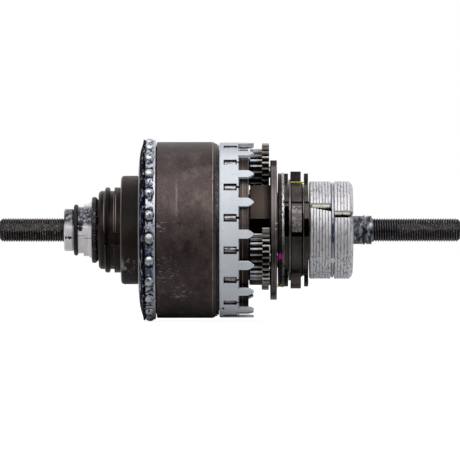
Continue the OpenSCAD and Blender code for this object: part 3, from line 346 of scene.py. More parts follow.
def new_tree(name, inputs):
    """A geometry tree with named inputs; returns it with its group input node."""
    tree = bpy.data.node_groups.new(name, "GeometryNodeTree")
    for label, way, kind in (
        ("Geometry", "OUTPUT", "Geometry"),
        ("Geometry", "INPUT", "Geometry"),
        *((label, "INPUT", kind) for label, kind in inputs.items()),
    ):
        tree.interface.new_socket(label, in_out=way, socket_type="NodeSocket" + kind)
    return tree, tree.nodes.new("NodeGroupInput")


def close_tree(tree, geometry, material):
    """Ends a geometry tree: loose instances become a mesh with its material."""
    made = add(tree, "GeometryNodeRealizeInstances", (geometry,))
    coated = add(tree, "GeometryNodeSetMaterial", {0: made, "Material": material})
    add(tree, "NodeGroupOutput", (coated,))


def grown(name, mesh, tree, values):
    """The mesh that a geometry tree makes of a mesh, as an object at the origin."""
    seed = bpy.data.objects.new(name + "_seed", mesh)
    bpy.context.scene.collection.objects.link(seed)
    modifier = seed.modifiers.new("Made by rule", "NODES")
    modifier.node_group = tree
    for item in tree.interface.items_tree:
        if item.in_out == "INPUT" and item.name in values:
            modifier[item.identifier] = values[item.name]
    bpy.context.view_layer.update()
    graph = bpy.context.evaluated_depsgraph_get()
    made = bpy.data.meshes.new_from_object(
        seed.evaluated_get(graph), preserve_all_data_layers=True, depsgraph=graph
    )
    bpy.data.objects.remove(seed)
    made.name = name
    if not made.polygons:
        raise RuntimeError(f"{name} came out with no faces")
    piece = bpy.data.objects.new(name, made)
    bpy.context.scene.collection.objects.link(piece)
    return piece


def turned_mesh(name, outline, sides):
    """A closed turned mesh from points of place along the axle and radius, in mm."""
    points, faces = [], []
    for along, radius in outline:
        for i in range(sides):
            turn = 2 * math.pi * i / sides
            points.append(
                (along * MM, -radius * math.sin(turn) * MM, radius * math.cos(turn) * MM)
            )
    for row in range(len(outline) - 1):
        for i in range(sides):
            here, there = row * sides, (row + 1) * sides
            after = (i + 1) % sides
            faces.append((here + i, here + after, there + after, there + i))
    last = (len(outline) - 1) * sides
    faces.append(tuple(range(sides - 1, -1, -1)))
    faces.append(tuple(range(last, last + sides)))
    mesh = bpy.data.meshes.new(name)
    mesh.from_pydata(points, [], faces)
    return mesh


# Axle: the places where its outline changes, in mm, as in the solid
AXLE_END = 92.0
THREAD_R = 4.76
BRAKE_THREAD_R = 4.68
CORE_LEFT, CORE_RIGHT, CORE_R = -48.63, 48.8, 6.0
THREAD_START = 57.0
LEFT_THREAD_END = -49.3
FLATS_START = 67.2
FLATS_TURN = math.radians(73)
AXLE_SIDES = 72
AXLE_OUTLINE = [
    (-AXLE_END, 3.56),
    (-AXLE_END + 1.2, THREAD_R),
    (LEFT_THREAD_END, THREAD_R),
    (CORE_LEFT, THREAD_R),
    (CORE_LEFT, CORE_R),
    (CORE_RIGHT, CORE_R),
    (CORE_RIGHT, 5.45),
    (49.1, 5.45),
    (49.1, 5.65),
    (53.2, 5.65),
    (53.25, 5.78),
    (53.35, 5.85),
    (53.85, 5.85),
    (54.0, 5.7),
    (54.0, 5.3),
    (54.5, 5.3),
    (54.5, 5.55),
    (54.65, 5.7),
    (56.45, 5.7),
    (56.6, 5.55),
    (56.6, 4.9),
    (THREAD_START, BRAKE_THREAD_R),
    (AXLE_END - 1.2, BRAKE_THREAD_R),
    (AXLE_END, 3.48),
]
# Rows of points to one pitch of the thread
ROWS_PER_PITCH = 10
# An edge that bends further than this stays sharp
SHARP_BEND = math.radians(38)

# How the thread and the flats are cut: the name of what comes out, the operation, and what
# goes in. x, y and z are the point's place, and names with a capital are the tree's inputs.
THREAD_STEPS = (
    # Distance from the axis, and turn round it from the top towards the viewer
    ("y_square", "MULTIPLY", "y", "y"),
    ("square", "MULTIPLY_ADD", "z", "z", "y_square"),
    ("radius", "SQRT", "square"),
    ("towards", "MULTIPLY", "y", -1.0),
    ("turn", "ARCTAN2", "towards", "z"),
    # One crest for each pitch, one pitch for each turn, and the solid's rings met in front
    ("crests", "DIVIDE", "x", "Pitch"),
    ("met", "ADD", "crests", 0.75),
    ("turns", "DIVIDE", "turn", 2 * math.pi),
    ("wound", "SUBTRACT", "met", "turns"),
    ("phase", "FRACT", "wound"),
    ("slope", "MULTIPLY_ADD", "phase", 2.0, -1.0),
    ("flank", "ABSOLUTE", "slope"),
    # 1 at a root and 0 at a crest, with narrow flats on both
    ("hollow", "RANGE", "flank", 0.12, 0.86, 1.0, 0.0),
    # The left thread ends at once, the right one runs out over half a millimetre
    ("left", "LESS_THAN", "x", LEFT_THREAD_END * MM),
    ("right", "RANGE", "x", THREAD_START * MM, (THREAD_START + 0.5) * MM),
    ("share_cut", "ADD", "left", "right"),
    ("depth", "MULTIPLY", "Depth", "share_cut"),
    ("at_brake", "GREATER_THAN", "x", 0.0),
    ("crest", "MULTIPLY_ADD", "at_brake", (BRAKE_THREAD_R - THREAD_R) * MM, THREAD_R * MM),
    ("root", "MULTIPLY", "depth", "hollow"),
    ("bottom", "SUBTRACT", "crest", "root"),
    ("cut", "DIVIDE", "bottom", "radius"),
    ("by_thread", "MINIMUM", "cut", 1.0),
    ("past_start", "GREATER_THAN", "x", (THREAD_START - 0.01) * MM),
    ("threaded", "ADD", "left", "past_start"),
    ("less", "SUBTRACT", "by_thread", 1.0),
    ("thread_share", "MULTIPLY_ADD", "threaded", "less", 1.0),
    # Distance from the plane through the axis that lies along the flats
    ("up", "MULTIPLY", "z", math.cos(FLATS_TURN)),
    ("tilted", "MULTIPLY_ADD", "y", -math.sin(FLATS_TURN), "up"),
    ("out", "ABSOLUTE", "tilted"),
    ("half", "MULTIPLY", "Across flats", 0.5),
    ("milled", "DIVIDE", "half", "out"),
    ("by_flat", "MINIMUM", "milled", 1.0),
    ("from_middle", "ABSOLUTE", "x"),
    ("on_flats", "GREATER_THAN", "from_middle", FLATS_START * MM),
    ("flat_less", "SUBTRACT", "by_flat", 1.0),
    ("flat_share", "MULTIPLY_ADD", "on_flats", "flat_less", 1.0),
    # The deeper cut holds
    ("share", "MINIMUM", "thread_share", "flat_share"),
    ("new_y", "MULTIPLY", "y", "share"),
    ("new_z", "MULTIPLY", "z", "share"),
)


def thread_tree():
    """Cuts a thread and two flats into a turned axle by moving its points inwards."""
    tree, given = new_tree(
        "Rolled thread",
        {"Pitch": "Float", "Depth": "Float", "Across flats": "Float", "Material": "Material"},
    )
    put = partial(add, tree)
    place = put("GeometryNodeInputPosition")
    x, y, z = put("ShaderNodeSeparateXYZ", (place,)).outputs
    values = {"x": x, "y": y, "z": z}
    values.update((name, given.outputs[name]) for name in given.outputs.keys())
    for name, operation, *terms in THREAD_STEPS:
        inputs = [values.get(term, term) for term in terms]
        if operation == "RANGE":
            step = put("ShaderNodeMapRange", inputs)
        else:
            step = put("ShaderNodeMath", inputs, operation=operation)
        values[name] = step.outputs[0]
    moved = put("ShaderNodeCombineXYZ", (x, values["new_y"], values["new_z"]))
    shaped = put("GeometryNodeSetPosition", {"Geometry": values["Geometry"], "Position": moved})
    smooth = put("GeometryNodeSetShadeSmooth", {"Geometry": shaped})
    bend = put("GeometryNodeInputMeshEdgeAngle").outputs["Unsigned Angle"]
    bent = put("ShaderNodeMath", (bend, SHARP_BEND), operation="GREATER_THAN")
    sharp = put(
        "GeometryNodeSetShadeSmooth",
        {"Geometry": smooth, "Selection": bent, "Shade Smooth": False},
        domain="EDGE",
    )
    close_tree(tree, sharp, values["Material"])
    return tree


# Grease: the cell of the skin round the blobs, and how dense the cloud is at the skin
GREASE_CELL = 0.16
GREASE_THRESHOLD = 0.15
# The sizes of the blobs are drawn with a seed this far from that of their places
SIZE_SEED_STEP = 7.0


def grease_tree():
    """Blobs of grease round the axle, run together into one skin."""
    tree, given = new_tree(
        "Grease blobs",
        {
            "Count": "Int",
            "Low corner": "Vector",
            "High corner": "Vector",
            "Small blob": "Float",
            "Large blob": "Float",
            "Cell": "Float",
            "Seed": "Int",
            "Material": "Material",
        },
    )
    get = given.outputs
    put = partial(add, tree)
    # A corner holds turn, place along the axle and distance from it
    drop = put(
        "FunctionNodeRandomValue",
        {0: get["Low corner"], 1: get["High corner"], "Seed": get["Seed"]},
        data_type="FLOAT_VECTOR",
    )
    turn, along, reach = put("ShaderNodeSeparateXYZ", (drop,)).outputs
    towards = put("ShaderNodeMath", (reach, -1.0), operation="MULTIPLY")
    place = [along]
    for wave, far in (("SINE", towards), ("COSINE", reach)):
        share = put("ShaderNodeMath", (turn,), operation=wave)
        place.append(put("ShaderNodeMath", (share, far), operation="MULTIPLY"))
    points = put(
        "GeometryNodePoints",
        {"Count": get["Count"], "Position": put("ShaderNodeCombineXYZ", place)},
    )
    size_seed = put("ShaderNodeMath", (get["Seed"], SIZE_SEED_STEP), operation="ADD")
    size = put(
        "FunctionNodeRandomValue", {2: get["Small blob"], 3: get["Large blob"], "Seed": size_seed}
    ).outputs[1]
    cloud = put(
        "GeometryNodePointsToVolume",
        {"Points": points, "Voxel Size": get["Cell"], "Radius": size},
        resolution_mode="VOXEL_SIZE",
    )
    skin = put("GeometryNodeVolumeToMesh", {"Volume": cloud, "Threshold": GREASE_THRESHOLD})
    smooth = put("GeometryNodeSetShadeSmooth", {"Geometry": skin})
    close_tree(tree, smooth, get["Material"])
    return tree


def grease_piece(name, body, finish, turns, along, reach, blobs, count, seed):
    """A piece of grease in a box of turns in degrees, places along the axle and distances."""
    tree = bpy.data.node_groups.get("Grease blobs") or grease_tree()
    low, high = zip(turns, along, reach)
    piece = grown(
        name,
        bpy.data.meshes.new(name + "_start"),
        tree,
        {
            "Count": count,
            "Low corner": (math.radians(low[0]), low[1] * MM, low[2] * MM),
            "High corner": (math.radians(high[0]), high[1] * MM, high[2] * MM),
            "Small blob": blobs[0] * MM,
            "Large blob": blobs[1] * MM,
            "Cell": GREASE_CELL * MM,
            "Seed": seed,
            "Material": finish.material,
        },
    )
    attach(piece, body)


class HUB_OT_axle(bpy.types.Operator):
    """Makes the threaded axle with its flats in place of the plain solid"""

    bl_idname = "hub.axle"
    bl_label = "Threaded axle"

    def execute(self, context):
        sizes, colours = context.scene.hub_sizes, context.scene.hub_colours
        # Blackened steel, rolled thread: nearly black roots and rubbed crests
        steel = worked_steel(
            "Blackened steel with rolled thread",
            colours.axle,
            deep=0.35,
            worn=None,
            roughness=0.4,
            cloud=2.5,
        )
        _, across, height = steel.position()
        steel.lay("#66636b", steel.band("along", 49.0, 95.0))
        steel.lay("#141213", steel.band("radius", 0.0, 4.435, 0.185), 0.9, Roughness=0.6)
        # Only the flats lie just half their thickness out from the plane between them
        tilted = steel.add(
            "ShaderNodeMath",
            (height, math.cos(FLATS_TURN), steel.both(across, -math.sin(FLATS_TURN))),
            operation="MULTIPLY_ADD",
        )
        out = steel.add("ShaderNodeMath", (tilted,), operation="ABSOLUTE")
        half = sizes.flats_across / MM / 2
        on_flats = steel.band(out, half - 0.03, half + 0.2, 0.02)
        steel.lay("#2b2929", on_flats, Roughness=0.5)
        speckle = steel.grain(0.5, 4.0, 33.0, 0.5, 0.62)
        steel.lay("#605b5d", on_flats, speckle)
        rubbed = steel.grain((1.6, 0.9, 0.9), 2.0, 2.0, 0.55, 0.7)
        steel.lay("#a39a94", rubbed, steel.band("radius", 4.5, 6.0), Roughness=0.35)
        # Black and blue grey grease swirl on the seat beside the brake thread
        seat = steel.band("along", 48.6, 56.9)
        film = steel.grain(2.4, 3.0, 6.0, 0.42, 0.5)
        steel.grease("#11141c", seat, film)
        glint = steel.grain((1.6, 2.2, 2.6), 3.0, 11.0, 0.5, 0.64)
        steel.grease("#9aa1ae", seat, glint)
        # Painted highlight: a pale spot on the collar where the brake thread starts
        collar_highlight = steel.spot((56.4, -5.2, 2.0), 1.5, 0.6)
        steel.lay("#b3b1b3", collar_highlight, Metallic=0.5)
        outline = []
        step = sizes.thread_pitch / MM / ROWS_PER_PITCH
        for (here, radius_here), (there, radius_there) in zip(AXLE_OUTLINE, AXLE_OUTLINE[1:]):
            threaded = there <= LEFT_THREAD_END or here >= THREAD_START
            rows = max(1, round((there - here) / step)) if threaded else 1
            for row in range(rows):
                share = row / rows
                outline.append(
                    (
                        here + share * (there - here),
                        radius_here + share * (radius_there - radius_here),
                    )
                )
        outline.append(AXLE_OUTLINE[-1])
        piece = grown(
            "threaded_axle",
            turned_mesh("plain_axle", outline, AXLE_SIDES),
            thread_tree(),
            {
                "Pitch": sizes.thread_pitch,
                "Depth": sizes.thread_depth,
                "Across flats": sizes.flats_across,
                "Material": steel.material,
            },
        )
        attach(piece, "axle")
        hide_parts("axle")
        return {"FINISHED"}


# Dark marks on the cone, and scratches along it: left, right and height
CONE_MARKS = (
    ((-65.2, -7.8, -3.1), 0.9),
    ((-64.4, -7.8, -3.1), 1.1),
    ((-63.6, -7.8, -3.0), 0.8),
    ((-59.8, -8.6, 2.6), 1.7),
    ((-59.7, -8.9, 0.6), 1.5),
)
CONE_SCRATCHES = ((-60.6, -57.9, -2.3), (-57.9, -54.0, -3.3))
# Material and node, share of the rubber's light and roughness, then the dust's tone,
# roughness, size and height
RUBBERS = (
    # Nitrile rubber, moulded: black with a dull shine
    ("Nitrile rubber ring", "drive_o_ring", 0.4, 0.45, "#18181d", 0.55, (0.7, 1.5, 1.5), 0.02),
    # Rubber seal, moulded and greasy: black with grey glints
    ("Greasy rubber seal", "cone_dust_seal", 0.25, 0.4, "#121011", 0.5, 1.0, 0.05),
)


class HUB_OT_cone(bpy.types.Operator):
    """Finishes the locknut, the rubber ring, the cone and its dust seal"""

    bl_idname = "hub.cone"
    bl_label = "Cone and locknut"

    def execute(self, context):
        colours = context.scene.hub_colours
        # Zinc plated steel, turned: silver and fairly bright, with grease smeared on it
        for name, node, dirt in (
            ("Zinc plated locknut", "drive_locknut", 0.44),
            ("Ground and plated cone", "drive_cone", 0.4),
        ):
            steel = worked_steel(
                name, colours.plated, deep=0.8, worn=None, roughness=0.45, cloud=2.0, Metallic=0.35
            )
            # The upper part is darker grey, with dark and pale grey spots over it
            upper = steel.band("height", 2.2, 8.9, 0.9)
            steel.lay("#6d6d76", upper, Metallic=0.8)
            film = steel.grain((1.8, 1.8, 2.4), 5.0, dirt * 7, dirt, dirt + 0.1)
            steel.grease("#14161e", film, upper, roughness=0.35)
            glint = steel.grain(1.5, 4.0, dirt * 9, 0.52, 0.7)
            steel.lay("#a7a6b0", glint, upper, Roughness=0.45)
            for centre, reach in CONE_MARKS:
                steel.lay("#16131a", steel.spot(centre, reach, 0.4), Roughness=0.5)
            for left, right, line in CONE_SCRATCHES:
                scratch = steel.band("height", line - 0.1, line + 0.1, 0.15)
                steel.lay("#2a2226", steel.band("along", left, right, 0.1), scratch, Roughness=0.5)
            steel.put_on(node)
        for name, node, light, roughness, tone, dull, size, relief in RUBBERS:
            rubber = Finish(
                name,
                Base_Color=darker(colours.rubber, light),
                Roughness=roughness,
                IOR=1.52,
                Specular_IOR_Level=0.25,
            )
            dust = rubber.grain(size, shift=4.0)
            rubber.lay(tone, dust, Roughness=dull)
            rubber.raise_up(dust, relief)
            rubber.put_on(node)
        # The seal comes last, and only its grease glints
        glint = rubber.grain((0.8, 0.7, 0.7), shift=8.0, low=0.58, high=0.64)
        rubber.lay("#8b878f", glint, Roughness=0.25)
        return {"FINISHED"}


class HUB_OT_driver(bpy.types.Operator):
    """Finishes the driver, its dust cap and what turns inside the unit"""

    bl_idname = "hub.driver"
    bl_label = "Driver"

    def execute(self, context):
        # Hardened steel, oil blackened: dark brown grey, with brighter rubbed edges
        steel = worked_steel(
            "Oil blackened driver steel",
            context.scene.hub_colours.driver,
            deep=0.45,
            worn="#8a8078",
            roughness=0.38,
            cloud=3.0,
            Metallic=0.75,
            Specular_IOR_Level=0.2,
        )
        above = steel.band("height", -0.5, 14.5, 0.4)
        # Painted shade: near black over the upper part
        steel.lay("#0a0808", steel.band("height", 5.5, 14.0, 2.5), 0.85)
        steel.lay("#0a0808", steel.band("along", -49.6, -48.5, 0.2))
        # Painted highlights: light lines along three edges, on the upper half only
        for line in (-50.2, -46.3, -45.5):
            edge = steel.band("along", line - 0.1, line + 0.1, 0.12)
            steel.lay("#8a7c78", above, edge)
        steel.put_on("driver")
        # Pressed steel, blackened: near black, with a soft brown shine
        steel = worked_steel(
            "Blackened cap steel",
            "#382f2b",
            worn="#6f6763",
            roughness=0.44,
            cloud=4.0,
            Metallic=0.6,
            Specular_IOR_Level=0.2,
        )
        # Painted light: pale grey smears low in front brighten the cap's lower part
        smears_and_light = steel.grain((1.6, 3.0, 3.0), shift=21.0, low=0.48, high=0.66)
        low = steel.spot((-41.6, -15.2, -13.0), 7.0, 0.8)
        steel.lay("#8c8a92", smears_and_light, low, Roughness=0.35)
        # Painted shade: darker over the upper part
        steel.lay("#0a0808", steel.band("height", 4.0, 16.0, 3.0), 0.85)
        steel.lay("#87807f", steel.band("along", -43.6, -43.15, 0.1))
        steel.put_on("driver_dust_cap")
        # Machined steel, left bare and oiled: grey with turning marks
        worked_steel("Oiled machined steel", "#8d8781", roughness=0.34).put_on(
            "shift_sleeve",
            "first_planet_carrier",
            "first_sun_gear",
            "brake_cone",
            *(f"first_planet_gear_{i}" for i in range(1, 5)),
        )
        # Sun gears, deep inside and black with oil
        worked_steel(
            "Oil black sun gear steel", "#1d1917", worn=None, roughness=0.6
        ).put_on("locked_sun_gear", "free_sun_gear")
        # Spring steel wire, drawn: bright and smooth
        worked_steel("Drawn spring wire", "#aeb0b4", roughness=0.25).put_on("sleeve_return_spring")
        # Ground steel pins and pressed cage: bright, with fine marks round them
        worked_steel(
            "Ground pin steel", "#c2bfbb", deep=0.7, roughness=0.24, cloud=2.0
        ).put_on("first_planet_pins", "second_planet_pins", "driver_ball_cage")
        return {"FINISHED"}


class HUB_OT_ball_bearing(bpy.types.Operator):
    """Finishes the balls and their cage, and packs grease between the balls"""

    bl_idname = "hub.ball_bearing"
    bl_label = "Ball bearing and grease"

    def execute(self, context):
        sizes, colours = context.scene.hub_sizes, context.scene.hub_colours
        # Bearing steel balls, polished: mirror bright with a thin film of grease
        steel = Finish("Polished bearing steel", Base_Color=linear("#d2d4d9"), Metallic=1.0)
        steel.lay("#b4b8c1", steel.grain(1.2, shift=3.0), Roughness=0.2)
        steel.grease("#2d3446", steel.grain(1.3, shift=14.0, low=0.56, high=0.6))
        # Painted shade with grease: near black navy where the balls lie in the dish
        steel.grease("#0d111c", steel.band("along", -35.0, -33.5))
        steel.put_on("hub_balls", "driver_balls")
        # Pressed steel cage: pale rim, silver fingers, and a dish of navy grease in painted shade
        steel = worked_steel(
            "Pressed cage steel, greased",
            "#d0d1d8",
            deep=0.7,
            worn="#e2e1e4",
            roughness=0.34,
            cloud=1.5,
            Metallic=0.7,
            Specular_IOR_Level=0.05,
        )
        # Painted shade with navy grease: the dish's deep channel is near black and dull
        dish = steel.band("along", -35.95, -33.3, 0.12)
        steel.lay("#05070f", dish, Roughness=0.95, Metallic=0.0)
        smears_and_light = steel.grain((1.0, 1.6, 2.2), shift=17.0, low=0.57, high=0.62)
        steel.grease("#8a93a8", dish, smears_and_light)
        pocket = steel.band("along", -33.4, -30.3, 0.2)
        dirt = steel.grain((1.1, 1.5, 1.5), shift=27.0, low=0.5, high=0.55)
        # The pocket gets dirt, a blue grey patch low in front, and painted shade: a dark ring
        # round each ball, where it meets the cage
        oil_and_shade = steel.band(steel.from_balls(), 1.9, 2.75, 0.25)
        for mask, tone in (
            (dirt, "#343d52"),
            (steel.spot((-31.9, -33.0, -13.5), 13.0, 0.9), "#4d5870"),
            (oil_and_shade, "#0d111b"),
        ):
            steel.grease(tone, pocket, mask)
        steel.put_on("hub_ball_cage")
        # Bearing grease: milky blue grey, wet, with dark metal dust in it
        grease = Finish(
            "Lithium grease", Base_Color=colours.grease, Roughness=0.22, IOR=1.46, Coat_Weight=0.4
        )
        grease.lay("#2a3347", grease.grain(1.6, shift=5.0, low=0.46, high=0.6))
        grease.lay("#c9cdd6", grease.grain(0.9, shift=9.0, low=0.55, high=0.65))
        grease_piece(
            "hub_bearing_grease",
            "hub_bearing",
            grease,
            turns=(0, 360),
            along=(-33.2, -30.1),
            reach=(35.0, 35.5),
            blobs=(0.35, sizes.grease_blob / MM),
            count=sizes.grease_count,
            seed=11,
        )
        return {"FINISHED"}


class HUB_OT_drum(bpy.types.Operator):
    """Finishes the drum and the stop ring beside it"""

    bl_idname = "hub.drum"
    bl_label = "Drum"

    def execute(self, context):
        # Case hardened steel, oil quenched: brown black clouds, scuffs, rubbed rims
        steel = worked_steel(
            "Quenched drum steel",
            context.scene.hub_colours.drum,
            worn="#a09690",
            roughness=0.46,
            cloud=9.0,
            turned=0.0,
        )
        # Dried oil: a fine mottle, and paler streaks that lie across the turning
        mottle = steel.grain(1.0, 5.0, 2.0, 0.4, 0.9)
        steel.lay("#625756", mottle, Roughness=0.52)
        stain = steel.grain((5.0, 7.0, 7.0), 5.0, 6.0, 0.5, 0.8)
        steel.lay("#6f635f", stain, Roughness=0.55)
        smudge = steel.spot((-21.1, -33.0, 12.5), 13.0, 0.8)
        steel.lay("#7a7376", steel.band("along", -21.3, -20.9, 0.4), smudge, Roughness=0.5)
        for centre, reach in (
            ((-27.0, -31.0, -16.0), 9.0),
            ((-19.7, -24.8, -25.0), 7.0),
            ((-28.0, -35.1, 1.4), 4.0),
        ):
            scuff = steel.grain((2.4, 1.0, 0.8), 4.0, 31.0 + reach, 0.53, 0.64)
            steel.lay("#9a97a2", scuff, steel.spot(centre, reach, 0.9), Roughness=0.45)
        rubbed = steel.grain((0.6, 4.0, 4.0), shift=8.0, low=0.3, high=0.5)
        steel.lay("#a3968f", steel.band("along", -6.95, -6.7, 0.12), rubbed, Roughness=0.3)
        steel.put_on("ring_gear_drum")
        # Pressed steel, oily: nearly black with a blue cast
        worked_steel(
            "Oily stop ring steel", "#35353d", deep=0.3, worn="#8f9099", roughness=0.38, cloud=2.0
        ).put_on("drum_stop_ring")
        return {"FINISHED"}


class HUB_OT_roller_clutch(bpy.types.Operator):
    """Finishes the plastic roller cage, its rollers, the cam and the ring gear inside it"""

    bl_idname = "hub.roller_clutch"
    bl_label = "Roller clutch"

    def execute(self, context):
        # Glass filled nylon, moulded: pale grey, satin, with faint flow marks and oil stains
        nylon = Finish(
            "Moulded pale grey nylon", Base_Color=context.scene.hub_colours.plastic, IOR=1.53
        )
        flow = nylon.grain((9.0, 14.0, 14.0), shift=2.0)
        nylon.lay("#d3d9e0", flow, Roughness=0.42)
        # Painted shade: greyer over the top
        nylon.lay("#aeb4bc", nylon.band("height", 30.5, 40.0, 2.0))
        fibre = nylon.grain(0.45, detail=2.0, shift=7.0)
        stain = nylon.grain(1.1, shift=12.0, low=0.6, high=0.72)
        nylon.lay("#a3adb5", stain, fibre, Roughness=0.55)
        scuff = nylon.grain(2.0, shift=19.0, low=0.45, high=0.6)
        nylon.lay("#eef2f5", nylon.worn_edges(0.3), scuff)
        nylon.lay("#22252b", nylon.spot((2.8, -12.4, -32.9), 0.5, 0.2), Roughness=0.6)
        # Painted shade: black on the fingers' inner faces low down, and dark on the windows'
        # walls, where their gaps are shaded: its tone, how far out it reaches and where it ends
        for tone, reach, *span in (
            ("#121316", 34.0, "height", -36.0, -10.0),
            ("#1c1d21", 34.85, "along", -3.0, 3.55),
        ):
            inside = nylon.band("radius", 20.0, reach, 0.05)
            nylon.lay(tone, inside, nylon.band(*span), Roughness=0.7)
        nylon.raise_up(fibre, 0.008)
        nylon.put_on("clutch_roller_cage")
        # Ground rollers: bright steel with oily bands along them, and painted shade: black on
        # their flanks and round their ends, where the window's gap shades them
        steel = worked_steel(
            "Ground roller steel", "#cdc6c8", deep=0.4, worn=None, roughness=0.36, cloud=1.2
        )
        oil_and_shade = steel.grain((3.0, 0.6, 0.6), 2.0, 3.0, 0.5, 0.6)
        steel.lay("#5e5556", oil_and_shade, Roughness=0.5)
        for span in (("radius", 30.0, 34.05), ("along", -2.6, -2.1), ("along", 2.2, 2.6)):
            steel.lay("#0d0c0d", steel.band(*span, 0.1), Roughness=0.6)
        steel.put_on("clutch_rollers")
        # Hardened cam: dark with oil
        worked_steel("Hardened cam steel", "#2c2725", roughness=0.5).put_on("clutch_cam")
        # Hardened ring gear: brown grey, ground in fine bands
        steel = worked_steel(
            "Ground ring gear steel",
            "#655c58",
            deep=0.4,
            worn="#a59c96",
            roughness=0.45,
            cloud=3.0,
        )
        # Painted shade: darker low down
        steel.lay("#1a1716", steel.band("height", -40.0, -5.0, 2.0), 0.8)
        for left, right, tone in (
            (4.6, 4.8, "#2f2a28"),
            (4.9, 5.1, "#857b75"),
            (6.5, 6.7, "#2f2a28"),
        ):
            steel.lay(tone, steel.band("along", left, right, 0.1))
        steel.put_on("output_ring_gear")
        return {"FINISHED"}


# Pitch circle of the second stage's planets, their turns, and where the large gear starts
PLANET_CIRCLE_R = 23.25
PLANET_TURNS = (-3, 117, 237)
LARGE_GEAR_LEFT = 12.8


class HUB_OT_planet_gears(bpy.types.Operator):
    """Finishes the planet gears, the carrier that they turn on and its plate"""

    bl_idname = "hub.planet_gears"
    bl_label = "Planet gears and carrier"

    def execute(self, context):
        colours = context.scene.hub_colours
        for i, turn in enumerate(PLANET_TURNS, start=1):
            # Hardened gear steel: rubbed bright on the teeth, black oil and painted shade in the
            # roots
            steel = worked_steel(
                f"Hardened gear steel {i}",
                colours.gear,
                deep=0.6,
                worn="#d2cdc8",
                roughness=0.28,
                cloud=2.5,
            )
            centre = (
                -PLANET_CIRCLE_R * math.sin(math.radians(turn)) * MM,
                PLANET_CIRCLE_R * math.cos(math.radians(turn)) * MM,
            )
            radius = steel.radius(centre)
            steel.lay("#a3a5ae", steel.band("along", 6.0, 10.6, 0.6))
            # Each gear's ends, and the radius in the middle of its teeth
            for left, right, middle, soft in (
                (0, LARGE_GEAR_LEFT, 8.3, 0.6),
                (LARGE_GEAR_LEFT, 20, 10.55, 0.55),
            ):
                # Painted shade with black oil: near black below the middle of the teeth
                root = steel.band(radius, 0.0, middle, soft)
                steel.lay("#0e0c0c", root, steel.band("along", left, right, 0.02), Roughness=0.5)
            steel.put_on(f"second_planet_gear_{i}")
        # Sintered steel carrier, oiled: dark brown, softly shaded
        steel = worked_steel(
            "Oiled carrier steel",
            colours.carrier,
            deep=0.55,
            worn="#857a72",
            roughness=0.55,
            cloud=6.0,
            turned=0.15,
        )
        # Painted shade: darker on its right part, next to the plate
        steel.lay("#241f1c", steel.band("along", 14.2, 18.0, 1.2))
        steel.put_on("planet_carrier")
        # Stamped plate: dark grey, with bright spots where it has been knocked
        steel = worked_steel(
            "Stamped plate steel", "#6b6462", deep=0.55, worn="#bdb8b6", roughness=0.4, cloud=3.0
        )
        # Darker in a band below the axis
        steel.lay("#0f0c0e", steel.band("height", -14.0, -7.0, 1.5), 0.8)
        for line in (16.9, 17.9):
            steel.lay("#98918e", steel.band("along", line, line + 0.12, 0.12))
        for centre, reach in (
            ((17.8, -21.6, 13.8), 0.6),
            ((18.3, -25.6, 2.6), 0.7),
            ((18.0, -25.6, 0.4), 0.8),
        ):
            steel.lay("#dcd8d6", steel.spot(centre, reach), Roughness=0.25)
        steel.put_on("carrier_plate")
        return {"FINISHED"}


